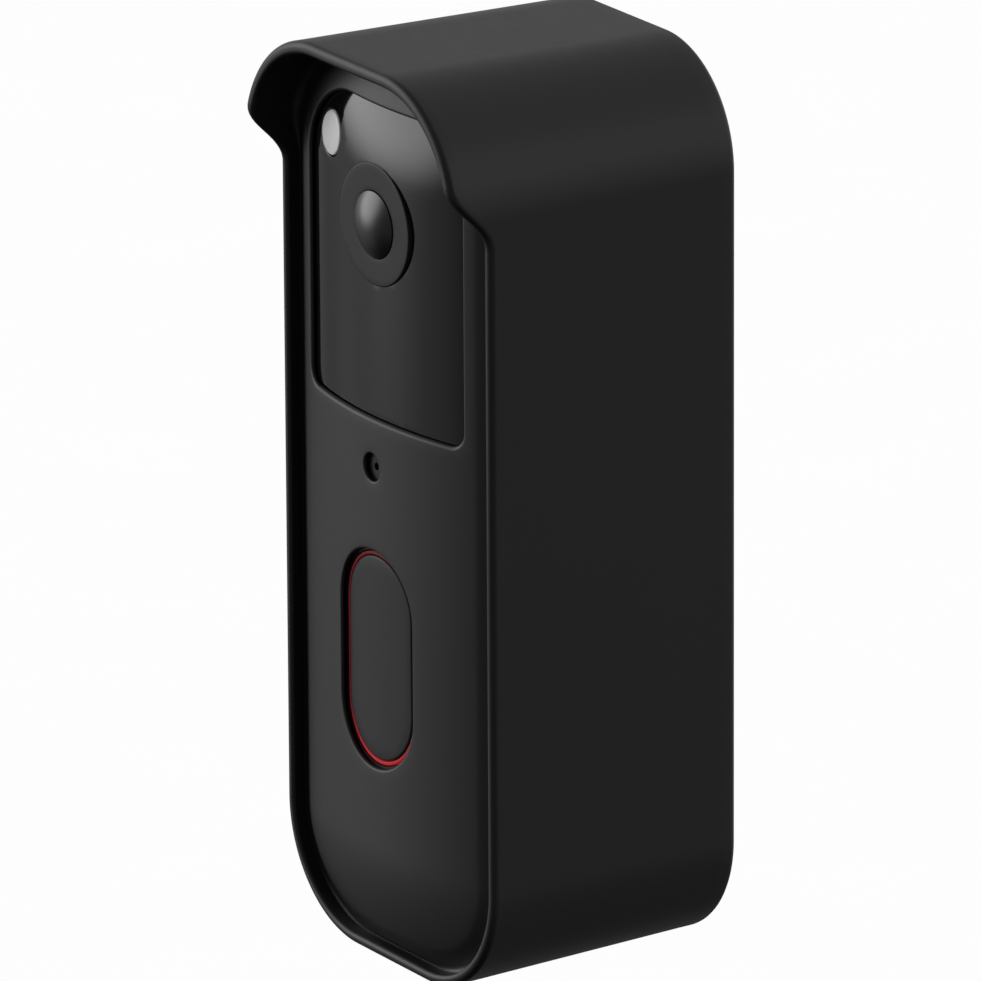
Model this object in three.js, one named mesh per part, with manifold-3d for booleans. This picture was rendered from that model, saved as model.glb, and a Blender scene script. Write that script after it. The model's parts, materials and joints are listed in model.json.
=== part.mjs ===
// Battery video doorbell in a hooded silicone sleeve, hung on a wall bracket.
// Millimetres. +Z up, the front looks along -Y, the wall is the plane y = 0.
// "Depth" is the distance forward from the wall, so y = -depth.

import * as THREE from 'three';
import { mergeVertices } from 'three/addons/utils/BufferGeometryUtils.js';
import Module from 'manifold-3d';

const wasm = await Module();
wasm.setup();

// ---------------------------------------------------------------- sizes

// Fits
const skinGap = 0.3;
const seatGap = 0.25;
const slideGap = 0.35;
const cutMargin = 2;

// Sleeve
const sleeveWidth = 56;
const sleeveHeight = 139.4;
const rimDepth = 43.3;
const cornerRadius = 18.5;
const sleeveDraft = 0.9;
const sleeveWall = 2;
const sleeveFrontWall = 0.6;
const edgeRound = 0.8;
const rimWidth = 1.7;
const grooveWidth = 0.8;
const grooveDepth = 2;

// Bowed front
const faceRise = 2.5;
const faceRadius = 78;
const endRadius = 38;
const endLength = 16;
const endSweep = Math.PI / 5;

// Hood
const hoodReach = 6.4;
const hoodShoulderDrop = 13;
const hoodFall = 10;
const hoodCurveSteps = 10;

// Openings in the sleeve
const lensDrop = 25.45;
const openingWidth = 40.4;
const openingTopDrop = 7.8;
const openingHeight = 46.9;
const openingTopRadius = 12;
const openingBottomRadius = 2.5;
const micDrop = 36.75;
const micHoleRadius = 2.1;
const pinholeRadius = 0.6;
const buttonRise = 47.7;
const buttonOpeningWidth = 18.9;
const buttonOpeningHeight = 33.5;

// Doorbell housing
const panelWall = 2.6;
const housingWall = 2;
const partingDepth = 21;
const partingGap = 0.3;
const rearLift = 0.5;
const recessWidth = 40;
const recessDepth = 4.2;
const recessTopDrop = 15;
const recessBottomRise = 5;
const recessRadius = 9;
const sealWidth = 0.8;
const sealHeight = 0.85;
const sealInset = 0.6;
const sealSide = 0.1;

// Camera
const windowThickness = 1.5;
const windowMargin = 1.3;
const windowLedge = 1.6;
const bezelBand = 4.05;
const bezelRise = 0.35;
const bezelSkirtWall = 2.2;
const bezelSkirtLength = 4;
const lensRadius = 4.9;
const lensCurve = 9;
const lensLift = 1.4;
const lensBack = 2.6;
const barrelStep = 0.2;
const barrelLength = 7;
const barrelWall = 1.5;
const barrelLip = 0.6;
const barrelMouthShare = 1 / 3;
const rearLensEdge = 0.8;
const rearLensBulge = 0.7;
const rearLensShoulder = 0.75;
const holderWall = 2.3;
const holderLength = 5.2;
const cameraBoardWidth = 40;
const cameraBoardHeight = 24;
const cameraBoardCorner = 2;
const cameraBoardDrop = 25.3;
const cameraBoardBack = 15;
const boardThickness = 1.2;
const sensorSide = 6.6;
const sensorThickness = 1.1;
const dotRadius = 3.3;
const dotSide = 13.6;
const dotRise = 10.3;
const dotThickness = 1.7;
const dotLift = 0.12;
const dotGap = 0.15;
const guideRadius = 2.4;
const lightSensorSide = 2;
const lightSensorHeight = 0.9;
const ledRadius = 1.7;
const ledSide = 14.6;
const ledDrop = 4.5;
const ledLength = 8.6;
const ledFlange = 0.4;
const ledFlangeLength = 0.8;

// Doorbell button
const islandGap = 0.3;
const ringInset = 0.5;
const ringBand = 0.55;
const ringDrop = 0.15;
const ringFlange = 2.6;
const ringFlangeThickness = 1.2;
const capLift = 0.1;
const capLip = 0.75;
const capLipThickness = 1.2;
const capWall = 1.6;
const buttonTravel = 0.8;
const stemRadius = 2.4;
const postRadius = 0.9;
const postSpacing = 12;
const switchSide = 6;
const switchHeight = 3.4;
const plungerRadius = 1.6;
const plungerHeight = 0.9;
const switchBore = 1.9;
const bootRadius = 6.6;
const bootWall = 1.1;
const ringLedSide = 2;
const ringLedHeight = 1;

// Main board and what it carries
const mainBoardBack = 10.9;
const mainBoardSideGap = 1.6;
const mainBoardTopGap = 9;
const mainBoardBottomRise = 13.5;
const boardCorner = 2;
const ribThickness = 1.6;
const ribLap = 0.8;
const shieldWidth = 13;
const shieldHeight = 15;
const shieldThickness = 2.2;
const shieldSide = 12.2;
const shieldDrop = 1.5;
const micCanSide = 3.6;
const micCanHeight = 1.2;
const micBootRadius = 2.9;
const antennaLength = 30;
const antennaWidth = 7;
const antennaThickness = 0.4;
const antennaBack = 20;
const ribbonWidth = 9;
const ribbonThickness = 0.3;
const ribbonLap = 3;

// Speaker
const speakerRadius = 10.5;
const speakerThickness = 5;
const speakerBack = 15.9;
const speakerConeRadius = 8;
const speakerConeDepth = 1.6;
const speakerFlange = 3.3;
const speakerMagnetRadius = 6.4;
const speakerDomeRadius = 2.7;
const gasketThickness = 0.6;
const gasketBand = 2.2;
const grilleSlots = 5;
const grillePitch = 4;
const grilleWidth = 1.6;
const grilleLength = 12;

// Battery
const cellRadius = 9.1;
const cellLength = 65;
const cellGap = 0.6;
const cellRise = 15.2;
const capRadius = 3;
const capHeight = 1;
const trayWall = 1;
const trayLow = 0.5;
const linkThickness = 0.4;
const linkWidth = 6;

// Back of the doorbell
const housingScrewHead = 2.3;
const housingScrewHeadHeight = 1.4;
const housingScrewShank = 1.1;
const housingScrewLength = 21;
const screwBossRadius = 3.2;
const screwPostRadius = 2.6;
const screwSeat = 2.2;
const upperScrewSide = 12;
const upperScrewDrop = 9.7;
const lowerScrewSide = 16.5;
const lowerScrewRise = 12.7;
const resetRadius = 2;
const resetSide = 12;
const resetRise = 6;
const terminalRise = 11;
const resetTravel = 0.5;
const resetFlange = 0.8;
const resetSwitchSide = 4;
const resetSwitchHeight = 2;
const rearBoardSide = 9;
const standoffRadius = 1.1;
const terminalPitch = 14;
const terminalHead = 2.6;
const terminalHeadHeight = 1.3;
const terminalShank = 1.4;
const terminalShankLength = 4;
const terminalPlateSide = 7;
const terminalPlateThickness = 0.8;
const terminalBossDepth = 5;

// Charging port and its cover
const portDepth = 13.8;
const portWidth = 9;
const portHeight = 3.2;
const portLength = 6.5;
const portWall = 0.35;
const portTongue = 0.7;
const portBlockHeight = 2.2;
const portBlockWall = 1;
const coverWidth = 14;
const coverDepth = 6;
const coverThickness = 1.2;
const coverLift = 0.1;
const coverPlugWidth = 7.4;
const coverPlugDepth = 1.6;
const coverPlugHeight = 1;
const coverPinRadius = 0.75;
const chargeBoardWidth = 15;
const chargeBoardHeight = 7.5;

// Wall bracket
const bracketDepth = 3.4;
const bracketTopGap = 1.2;
const liftTravel = 9;
const earLength = 8;
const earReach = 1.7;
const earThickness = 1.2;
const ledgeThickness = 1.3;
const ledgeReach = 1.6;
const earSpacing = 66;
const bracketRadius = 8;
const wireWindowWidth = 22;
const wireWindowHeight = 16;
const wallHoleRadius = 2.2;
const wallHoleHead = 4.2;
const wallHoleSink = 1.8;
const wallHoleSpacing = 93;
const tongueWidth = 13;
const tongueThickness = 2.4;
const footLength = 9.5;
const footThickness = 1.6;
const lockScrewDepth = 6.6;
const lockScrewHead = 2.3;
const lockScrewHeadHeight = 1.1;
const lockScrewShank = 1.2;
const lockScrewLength = 7.5;
const lockBossRadius = 3;

// Facets
const cornerSteps = 7;
const roundSteps = 24;
const smallRoundSteps = 14;
const ringSteps = 32;
const faceSteps = 16;
const endSteps = 8;
const edgeSteps = 3;
const smallestRadius = 0.2;

// ---------------------------------------------------------------- derived

const halfHeight = sleeveHeight / 2;
const faceApex = rimDepth + faceRise;
const axisDepth = faceApex - faceRadius;
const cavityInset = sleeveDraft + sleeveWall;
const bodyInset = cavityInset + skinGap;
const bodyWidth = sleeveWidth - 2 * bodyInset;
const bodyHeight = sleeveHeight - 2 * bodyInset;
const bodyRadius = cornerRadius - bodyInset;
const bodyBottom = -bodyHeight / 2;
const bodyFront = faceApex - sleeveFrontWall - skinGap;
const panelBack = bodyFront - panelWall;
const windowBack = bodyFront - windowThickness;
const lensZ = halfHeight - lensDrop;
const bezelBore = lensRadius + skinGap;
const bezelSkirtRadius = bezelBore + bezelSkirtWall;
const bezelRadius = bezelBore + bezelBand;
const barrelRadius = lensRadius - barrelStep;
const barrelBore = barrelRadius - barrelWall;
const barrelMouth = barrelRadius - barrelLip;
const holderBore = barrelRadius + skinGap;
const holderSide = 2 * (holderBore + holderWall);
const openingTop = halfHeight - openingTopDrop;
const openingBottom = openingTop - openingHeight;
const micZ = lensZ - micDrop;
const buttonZ = -halfHeight + buttonRise;
const recessTop = halfHeight - recessTopDrop;
const recessBottom = bodyBottom + recessBottomRise;
const rearWallInner = recessDepth + housingWall;
const mainBoardFront = bodyFront - mainBoardBack;
const mainBoardBackFace = mainBoardFront - boardThickness;
const cameraBoardFront = bodyFront - cameraBoardBack + boardThickness;
const cameraBoardZ = halfHeight - cameraBoardDrop;
const innerWidth = bodyWidth - 2 * housingWall;
const innerHeight = bodyHeight - 2 * housingWall;
const innerRadius = bodyRadius - housingWall;

// ---------------------------------------------------------------- solids
// Turns a geometry into a closed solid that faces out.
function toSolid(geometry) {
  const bare = geometry.clone();
  bare.deleteAttribute('normal');
  bare.deleteAttribute('uv');
  const joined = mergeVertices(bare, 1e-4);
  const index = joined.index.array;
  const triangles = [];
  for (let i = 0; i < index.length; i += 3) {
    const [a, b, c] = [index[i], index[i + 1], index[i + 2]];
    if (a !== b && b !== c && c !== a) triangles.push(a, b, c);
  }
  const build = (list) => new wasm.Manifold(new wasm.Mesh({
    numProp: 3,
    vertProperties: joined.attributes.position.array,
    triVerts: new Uint32Array(list),
  }));
  const solid = build(triangles);
  if (solid.volume() > 0) return solid;
  const turnedOut = [];
  for (let i = 0; i < triangles.length; i += 3) {
    turnedOut.push(triangles[i], triangles[i + 2], triangles[i + 1]);
  }
  return build(turnedOut);
}

function toGeometry(solid) {
  const data = solid.getMesh();
  const geometry = new THREE.BufferGeometry();
  geometry.setAttribute('position', new THREE.BufferAttribute(new Float32Array(data.vertProperties), 3));
  geometry.setIndex(new THREE.BufferAttribute(new Uint32Array(data.triVerts), 1));
  const split = geometry.toNonIndexed();
  split.computeVertexNormals();
  return split;
}

// Draws a closed outline from four corner arcs, each with its own centre and radius.
function fourArcs(corners, steps) {
  const outline = new THREE.Shape();
  corners.forEach(([cx, cy, r], quarter) => {
    for (let i = 0; i <= steps; i += 1) {
      const angle = (quarter + i / steps) * Math.PI / 2;
      const px = cx + r * Math.cos(angle);
      const py = cy + r * Math.sin(angle);
      if (quarter === 0 && i === 0) outline.moveTo(px, py);
      else outline.lineTo(px, py);
    }
  });
  outline.closePath();
  return outline;
}

// Outlines lie in the plane of the front: x to the right, y of the outline up.
function roundedRect(width, height, radius, steps = cornerSteps) {
  const x = width / 2;
  const y = height / 2;
  const r = Math.min(radius, x, y);
  return fourArcs([[x - r, y - r, r], [r - x, y - r, r], [r - x, r - y, r], [x - r, r - y, r]], steps);
}

function pill(width, height) {
  return roundedRect(width, height, width / 2);
}

function disc(radius, steps = roundSteps) {
  const outline = new THREE.Shape();
  for (let i = 0; i < steps; i += 1) {
    const angle = 2 * Math.PI * i / steps;
    if (i === 0) outline.moveTo(radius, 0);
    else outline.lineTo(radius * Math.cos(angle), radius * Math.sin(angle));
  }
  outline.closePath();
  return outline;
}

// The window has wide upper corners and tight lower ones, and is drawn about its own centre.
function windowShape(grow) {
  const x = openingWidth / 2 + grow;
  const y = openingHeight / 2 + grow;
  const top = openingTopRadius + grow;
  const low = Math.max(openingBottomRadius + grow, smallestRadius);
  return fourArcs([[x - top, y - top, top], [top - x, y - top, top],
    [low - x, low - y, low], [x - low, low - y, low]], cornerSteps);
}

// A prism of an outline between two depths, moved to (x, z).
function prism(outline, from, to, x = 0, z = 0) {
  const geometry = new THREE.ExtrudeGeometry(outline, { depth: to - from, bevelEnabled: false });
  geometry.rotateX(Math.PI / 2);
  geometry.translate(x, -from, z);
  return toSolid(geometry);
}

// A prism of an outline seen from above, between two heights, moved to (x, depth).
function column(outline, low, high, x, depth) {
  const geometry = new THREE.ExtrudeGeometry(outline, { depth: high - low, bevelEnabled: false });
  geometry.translate(x, -depth, low);
  return toSolid(geometry);
}

function block(width, depth, height, x, middleDepth, z) {
  const geometry = new THREE.BoxGeometry(width, depth, height);
  geometry.translate(x, -middleDepth, z);
  return toSolid(geometry);
}

function rod(radius, from, to, x, z, steps = smallRoundSteps) {
  return prism(disc(radius, steps), from, to, x, z);
}

// A piece turned about a line along the depth, from pairs of radius and depth.
function turned(pairs, x, z, steps = roundSteps) {
  const points = pairs.map(([r, d]) => new THREE.Vector2(r, d));
  if (pairs[0][0] > 0) points.push(points[0].clone());
  const geometry = new THREE.LatheGeometry(points, steps);
  geometry.rotateX(Math.PI);
  geometry.translate(x, 0, z);
  return toSolid(geometry);
}

// The same about an upright line, from pairs of radius and height.
function turnedUpright(pairs, x, depth, steps = smallRoundSteps) {
  const points = pairs.map(([r, z]) => new THREE.Vector2(r, z));
  if (pairs[0][0] > 0) points.push(points[0].clone());
  const geometry = new THREE.LatheGeometry(points, steps);
  geometry.rotateX(Math.PI / 2);
  geometry.translate(x, -depth, 0);
  return toSolid(geometry);
}

// A profile drawn as depth and height, drawn out along x between two places.
function sideProfile(points, from, to) {
  const outline = new THREE.Shape();
  points.forEach(([depth, z], i) => {
    if (i === 0) outline.moveTo(depth, z);
    else outline.lineTo(depth, z);
  });
  outline.closePath();
  const geometry = new THREE.ExtrudeGeometry(outline, { depth: to - from, bevelEnabled: false });
  geometry.applyMatrix4(new THREE.Matrix4().makeBasis(
    new THREE.Vector3(0, -1, 0),
    new THREE.Vector3(0, 0, 1),
    new THREE.Vector3(-1, 0, 0),
  ));
  geometry.translate(to, 0, 0);
  return toSolid(geometry);
}

// A rounded body whose outline is drawn in by its own amount at each depth.
function layered(layers, width, height, radius) {
  const last = layers.length - 1;
  const geometry = new THREE.ExtrudeGeometry(roundedRect(width, height, radius), {
    depth: last,
    steps: last,
    bevelEnabled: false,
  });
  const position = geometry.attributes.position;
  const coreX = width / 2 - radius;
  const coreY = height / 2 - radius;
  for (let i = 0; i < position.count; i += 1) {
    const [depth, by] = layers[Math.round(position.getZ(i))];
    const x = position.getX(i);
    const y = position.getY(i);
    const outX = x - THREE.MathUtils.clamp(x, -coreX, coreX);
    const outY = y - THREE.MathUtils.clamp(y, -coreY, coreY);
    const share = by / Math.hypot(outX, outY);
    position.setXYZ(i, x - outX * share, y - outY * share, depth);
  }
  geometry.rotateX(Math.PI / 2);
  return toSolid(geometry);
}

// Everything behind the front surface whose highest line lies at the given depth. The front is
// bowed across its width and rolls off towards both ends.
function bowed(apex) {
  const bowRadius = apex - axisDepth;
  const rollRadius = endRadius - (faceApex - apex);
  const bowSweep = Math.asin((sleeveWidth / 2 + cutMargin) / bowRadius);
  const rollStart = halfHeight - rimWidth - grooveWidth - endLength;
  const rows = 2 * endSteps + 1;
  const geometry = new THREE.BoxGeometry(faceSteps, 1, rows, faceSteps, 1, rows);
  const position = geometry.attributes.position;
  for (let i = 0; i < position.count; i += 1) {
    const bow = 2 * bowSweep * position.getX(i) / faceSteps;
    const end = Math.sign(position.getZ(i));
    const roll = endSweep * (Math.abs(position.getZ(i)) - 1 / 2) / endSteps;
    const fall = bowRadius * (1 - Math.cos(bow)) + rollRadius * (1 - Math.cos(roll));
    position.setXYZ(
      i,
      bowRadius * Math.sin(bow),
      position.getY(i) < 0 ? fall - apex : -axisDepth,
      end * (rollStart + rollRadius * Math.sin(roll)),
    );
  }
  return toSolid(geometry);
}

function bowedPrism(outline, from, apex, x = 0, z = 0) {
  return prism(outline, from, apex + cutMargin, x, z).intersect(bowed(apex));
}

// A plate that follows the bowed front between two depths.
function bowedPlate(outline, back, apex, x = 0, z = 0) {
  return bowedPrism(outline, axisDepth, apex, x, z).subtract(bowed(back));
}

function paint(color, roughness, metalness) {
  return () => new THREE.MeshStandardMaterial({ color, roughness, metalness });
}

function place(group, name, solid, material, at = [0, 0, 0]) {
  const geometry = toGeometry(solid);
  geometry.translate(-at[0], at[1], -at[2]);
  const mesh = new THREE.Mesh(geometry, material());
  mesh.name = name;
  mesh.position.set(at[0], -at[1], at[2]);
  group.add(mesh);
  return mesh;
}

// ---------------------------------------------------------------- materials

const silicone = paint('#1c1c1d', 0.7, 0);
const blackPlastic = paint('#202124', 0.55, 0);
const glossBlack = paint('#0c0c0e', 0.12, 0);
const lensGlass = paint('#0a0c12', 0.05, 0);
const whiteDiffuser = paint('#dcdcda', 0.45, 0);
const redDiffuser = paint('#b01018', 0.4, 0);
const rubber = paint('#2a2a2b', 0.85, 0);
const circuitGreen = paint('#1f4a34', 0.6, 0);
const steel = paint('#b6b9bd', 0.35, 1);
const brass = paint('#b58a3c', 0.4, 1);
const cellWrap = paint('#2f6f9f', 0.5, 0);
const whitePlastic = paint('#d8d8d4', 0.6, 0);
const chipBlack = paint('#151517', 0.4, 0);
const amberFilm = paint('#a8661c', 0.5, 0);

// ---------------------------------------------------------------- sleeve

function sleeveSolid() {
  const back = [];
  const front = [];
  const hoodFront = [];
  const draftAt = (depth) => sleeveDraft * (1 - depth / rimDepth);
  for (let i = 0; i <= edgeSteps; i += 1) {
    const angle = i / edgeSteps * Math.PI / 2;
    const in1 = edgeRound * (1 - Math.sin(angle));
    const up = edgeRound * (1 - Math.cos(angle));
    back.push([up, draftAt(up) + in1]);
    front.unshift([rimDepth - up, draftAt(rimDepth - up) + in1]);
    const tip = rimDepth + hoodReach;
    hoodFront.unshift([tip - up, draftAt(tip - up) + in1]);
  }
  const lower = layered([...back, ...front], sleeveWidth, sleeveHeight, cornerRadius);
  const hoodRoot = rimDepth - grooveDepth;
  const hoodLayers = [[hoodRoot, draftAt(hoodRoot)], ...hoodFront];
  const shoulder = halfHeight - hoodShoulderDrop;
  const foot = shoulder - hoodFall;
  const profile = [[hoodRoot, foot], [hoodRoot, halfHeight + cutMargin]];
  profile.push([rimDepth + hoodReach + cutMargin, halfHeight + cutMargin]);
  profile.push([rimDepth + hoodReach + cutMargin, shoulder + cutMargin]);
  for (let i = 0; i <= hoodCurveSteps; i += 1) {
    const share = i / hoodCurveSteps;
    const ease = (1 + Math.cos(Math.PI * share)) / 2;
    profile.push([rimDepth - edgeRound + (hoodReach + edgeRound) * ease, shoulder - hoodFall * share]);
  }
  const hood = layered(hoodLayers, sleeveWidth, sleeveHeight, cornerRadius)
    .intersect(sideProfile(profile, -sleeveWidth, sleeveWidth));
  const rimInner = roundedRect(sleeveWidth - 2 * rimWidth, sleeveHeight - 2 * rimWidth, cornerRadius - rimWidth);
  const faceInset = rimWidth + grooveWidth;
  const faceOutline = roundedRect(
    sleeveWidth - 2 * faceInset,
    sleeveHeight - 2 * faceInset,
    cornerRadius - faceInset,
  );
  const cavity = roundedRect(
    sleeveWidth - 2 * cavityInset,
    sleeveHeight - 2 * cavityInset,
    cornerRadius - cavityInset,
  );
  return lower.add(hood)
    .subtract(prism(rimInner, hoodRoot, ahead))
    .add(bowedPrism(faceOutline, hoodRoot - housingWall, faceApex))
    .subtract(bowedPrism(cavity, -cutMargin, faceApex - sleeveFrontWall))
    .subtract(prism(windowShape(0), panelBack - cutMargin, ahead, 0, windowZ))
    .subtract(rod(micHoleRadius, panelBack - cutMargin, ahead, 0, micZ, roundSteps))
    .subtract(prism(pill(buttonOpeningWidth, buttonOpeningHeight), panelBack - housingWall, ahead, 0, buttonZ))
    .subtract(block(
      coverWidth + 2 * slideGap,
      2 * (portDepth + coverDepth / 2 + slideGap),
      2 * (cavityInset + cutMargin),
      0,
      0,
      -halfHeight,
    ))
    .subtract(grilleCuts(skinGap, -halfHeight - cutMargin, bodyBottom));
}

// ---------------------------------------------------------------- housing

const innerOutline = () => roundedRect(innerWidth, innerHeight, innerRadius);
const coverStart = partingDepth + partingGap / 2;
const rearEnd = partingDepth - partingGap / 2;
const ahead = rimDepth + hoodReach + cutMargin;
const windowZ = openingBottom + openingHeight / 2;
const ringOuterWidth = buttonOpeningWidth - 2 * ringInset;
const ringOuterHeight = buttonOpeningHeight - 2 * ringInset;
const ringInnerWidth = ringOuterWidth - 2 * ringBand;
const ringInnerHeight = ringOuterHeight - 2 * ringBand;
const screwPlaces = [
  [-upperScrewSide, halfHeight - upperScrewDrop],
  [upperScrewSide, halfHeight - upperScrewDrop],
  [-lowerScrewSide, -halfHeight + lowerScrewRise],
  [lowerScrewSide, -halfHeight + lowerScrewRise],
];
const boardTop = cameraBoardZ - cameraBoardHeight / 2 - mainBoardTopGap;
const boardBottom = bodyBottom + mainBoardBottomRise;
const boardWidth = innerWidth - 2 * mainBoardSideGap;
const speakerDepth = bodyFront - speakerBack;
const speakerLow = bodyBottom + housingWall + gasketThickness + 2 * seatGap;

function grilleCuts(grow, low, high) {
  const slots = [];
  for (let i = 0; i < grilleSlots; i += 1) {
    const x = (i - (grilleSlots - 1) / 2) * grillePitch;
    slots.push(column(pill(grilleWidth + 2 * grow, grilleLength + 2 * grow), low, high, x, speakerDepth));
  }
  return wasm.Manifold.union(slots);
}

function frontCoverSolid() {
  const outer = roundedRect(bodyWidth, bodyHeight, bodyRadius);
  let cover = bowedPrism(outer, coverStart, bodyFront)
    .subtract(bowedPrism(innerOutline(), coverStart - cutMargin, panelBack));
  const pocket = prism(windowShape(windowMargin + seatGap), coverStart, ahead, 0, windowZ)
    .subtract(bowed(windowBack - seatGap));
  cover = cover
    .subtract(pocket)
    .subtract(prism(windowShape(windowMargin - windowLedge), coverStart, ahead, 0, windowZ));
  screwPlaces.forEach(([x, z]) => {
    cover = cover.add(rod(screwPostRadius, coverStart, ahead, x, z).intersect(bowed(windowBack - 2 * seatGap)));
  });
  [[boardWidth, mainBoardFront, boardTop, boardBottom],
    [cameraBoardWidth, cameraBoardFront, cameraBoardZ + cameraBoardHeight / 2 - cameraBoardCorner,
      cameraBoardZ - cameraBoardHeight / 2]].forEach(([width, front, top, bottom]) => {
    [-1, 1].forEach((side) => {
      const reach = (innerWidth - width) / 2 + ribLap + housingWall / 2;
      const rib = block(
        reach,
        ribThickness,
        top - bottom,
        side * (width / 2 - ribLap + reach / 2),
        front + seatGap + ribThickness / 2,
        (top + bottom) / 2,
      );
      cover = cover.add(rib.intersect(prism(outer, coverStart, ahead)));
    });
  });
  screwPlaces.forEach(([x, z]) => {
    cover = cover.subtract(rod(housingScrewShank + seatGap, 0, screwTip + seatGap, x, z));
  });
  return cover
    .subtract(rod(pinholeRadius, panelBack - cutMargin, ahead, 0, micZ, smallRoundSteps))
    .subtract(prism(
      pill(ringOuterWidth + 2 * seatGap, ringOuterHeight + 2 * seatGap),
      panelBack - cutMargin,
      ahead,
      0,
      buttonZ,
    ))
    .subtract(grilleCuts(0, bodyBottom - cutMargin, bodyBottom + housingWall + seatGap));
}

const seatDepth = recessDepth + screwSeat;
const screwTip = seatDepth + housingScrewLength;
const recessZ = (recessTop + recessBottom) / 2;
const coverPinZ = bodyBottom + coverThickness / 2 + coverLift;
const coverPinDepth = portDepth - coverDepth / 2 + coverPinRadius;
const portLow = bodyBottom + housingWall + seatGap;
const cellMiddle = (2 * cellRadius + cellGap) / 2;
const cellDepth = rearWallInner + trayWall + 2 * seatGap + cellRadius;
const cellLow = bodyBottom + cellRise;
const cellHigh = cellLow + cellLength;
const trayTop = cellHigh + capHeight + linkThickness + 2 * seatGap + trayWall;
const resetZ = trayTop + resetRise;
const rearBoardFront = rearWallInner + seatGap + resetFlange + resetTravel + resetSwitchHeight + 2 * seatGap;
const terminalZ = resetZ + terminalRise;
const terminalSeat = recessDepth + terminalHeadHeight + terminalPlateThickness + 3 * seatGap;
const earPlaces = [[-1, -1], [1, -1], [-1, 1], [1, 1]];
const bracketTop = recessTop - bracketTopGap;
const bracketBottom = recessBottom + liftTravel + seatGap;
const bracketZ = (bracketTop + bracketBottom) / 2;
const bracketHalf = recessWidth / 2 - ledgeReach - slideGap;

function rearHousingSolid() {
  const outer = roundedRect(bodyWidth, bodyHeight, bodyRadius);
  const bossEnd = rearEnd;
  let shell = prism(outer, rearLift, rearEnd)
    .subtract(prism(innerOutline(), rearWallInner, ahead));
  screwPlaces.forEach(([x, z]) => {
    shell = shell.add(rod(screwBossRadius, recessDepth, bossEnd, x, z));
  });
  const terminalBlock = block(
    terminalPitch + 2 * terminalPlateSide,
    terminalBossDepth,
    terminalPlateSide + 2 * housingWall,
    0,
    rearWallInner + terminalBossDepth / 2 - seatGap,
    terminalZ,
  );
  shell = shell
    .add(terminalBlock)
    .add(column(disc(lockBossRadius, smallRoundSteps), bodyBottom + seatGap, lockBossTop, 0, lockScrewDepth))
    .add(block(
      portWidth + 2 * housingWall,
      portHeight + 2 * portBlockWall,
      portBlockHeight + seatGap,
      0,
      portDepth,
      bodyBottom + housingWall + portBlockHeight / 2 - seatGap / 2,
    ))
    .subtract(prism(
      roundedRect(recessWidth, recessTop - recessBottom, recessRadius),
      -cutMargin,
      recessDepth,
      0,
      recessZ,
    ));
  earPlaces.forEach(([side, end]) => {
    shell = shell.add(block(
      ledgeReach + seatGap,
      ledgeThickness,
      earLength,
      side * (recessWidth / 2 - (ledgeReach - seatGap) / 2),
      rearLift + ledgeThickness / 2,
      bracketZ + end * earSpacing / 2,
    ));
  });
  screwPlaces.forEach(([x, z]) => {
    shell = shell
      .subtract(rod(housingScrewShank + seatGap, 0, ahead, x, z))
      .subtract(rod(housingScrewHead + seatGap, -cutMargin, seatDepth, x, z));
  });
  [-1, 1].forEach((side) => {
    const x = side * terminalPitch / 2;
    const pocket = terminalPlateSide + 2 * seatGap;
    shell = shell
      .subtract(block(pocket, terminalSeat, pocket, x, terminalSeat / 2, terminalZ))
      .subtract(rod(terminalShank + seatGap, 0, terminalSeat + terminalShankLength, x, terminalZ));
    shell = shell.add(rod(
      standoffRadius,
      rearWallInner - seatGap,
      rearBoardFront - seatGap,
      resetSide + rearBoardSide / 2 - standoffRadius,
      resetZ + side * (rearBoardSide / 2 - standoffRadius),
      smallRoundSteps,
    ));
  });
  const groove = prism(roundedRect(
    bodyWidth - 2 * (sealInset - sealSide),
    bodyHeight - 2 * (sealInset - sealSide),
    bodyRadius - (sealInset - sealSide),
  ), rearEnd - sealHeight, ahead).subtract(prism(roundedRect(
    bodyWidth - 2 * (sealInset + sealWidth + sealSide),
    bodyHeight - 2 * (sealInset + sealWidth + sealSide),
    bodyRadius - (sealInset + sealWidth + sealSide),
  ), partingDepth - 2 * sealHeight, ahead + cutMargin));
  return shell
    .subtract(groove)
    .subtract(rod(resetRadius + seatGap, 0, rearWallInner + cutMargin, resetSide, resetZ))
    .subtract(block(
      tongueWidth + 2 * slideGap,
      2 * (tongueThickness + slideGap),
      recessBottom - bodyBottom + 2 * cutMargin,
      0,
      0,
      (recessBottom + bodyBottom) / 2,
    ))
    .subtract(block(
      coverWidth + 2 * slideGap,
      coverDepth + 2 * slideGap,
      2 * (coverThickness + slideGap),
      0,
      portDepth,
      bodyBottom,
    ))
    .subtract(column(
      roundedRect(portWidth + 2 * seatGap, portHeight + 2 * seatGap, portHeight / 2),
      bodyBottom,
      bodyBottom + housingWall + portBlockHeight + cutMargin,
      0,
      portDepth,
    ))
    .subtract(column(
      disc(lockScrewShank + seatGap, smallRoundSteps),
      bodyBottom - cutMargin,
      lockScrewTop + seatGap,
      0,
      lockScrewDepth,
    ));
}

function housingSealSolid() {
  const outside = roundedRect(bodyWidth - 2 * sealInset, bodyHeight - 2 * sealInset, bodyRadius - sealInset);
  const far = sealInset + sealWidth;
  const inside = roundedRect(bodyWidth - 2 * far, bodyHeight - 2 * far, bodyRadius - far);
  return prism(outside, rearEnd - sealHeight + sealSide, partingDepth)
    .subtract(prism(inside, partingDepth - cutMargin, partingDepth + cutMargin));
}

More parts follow.
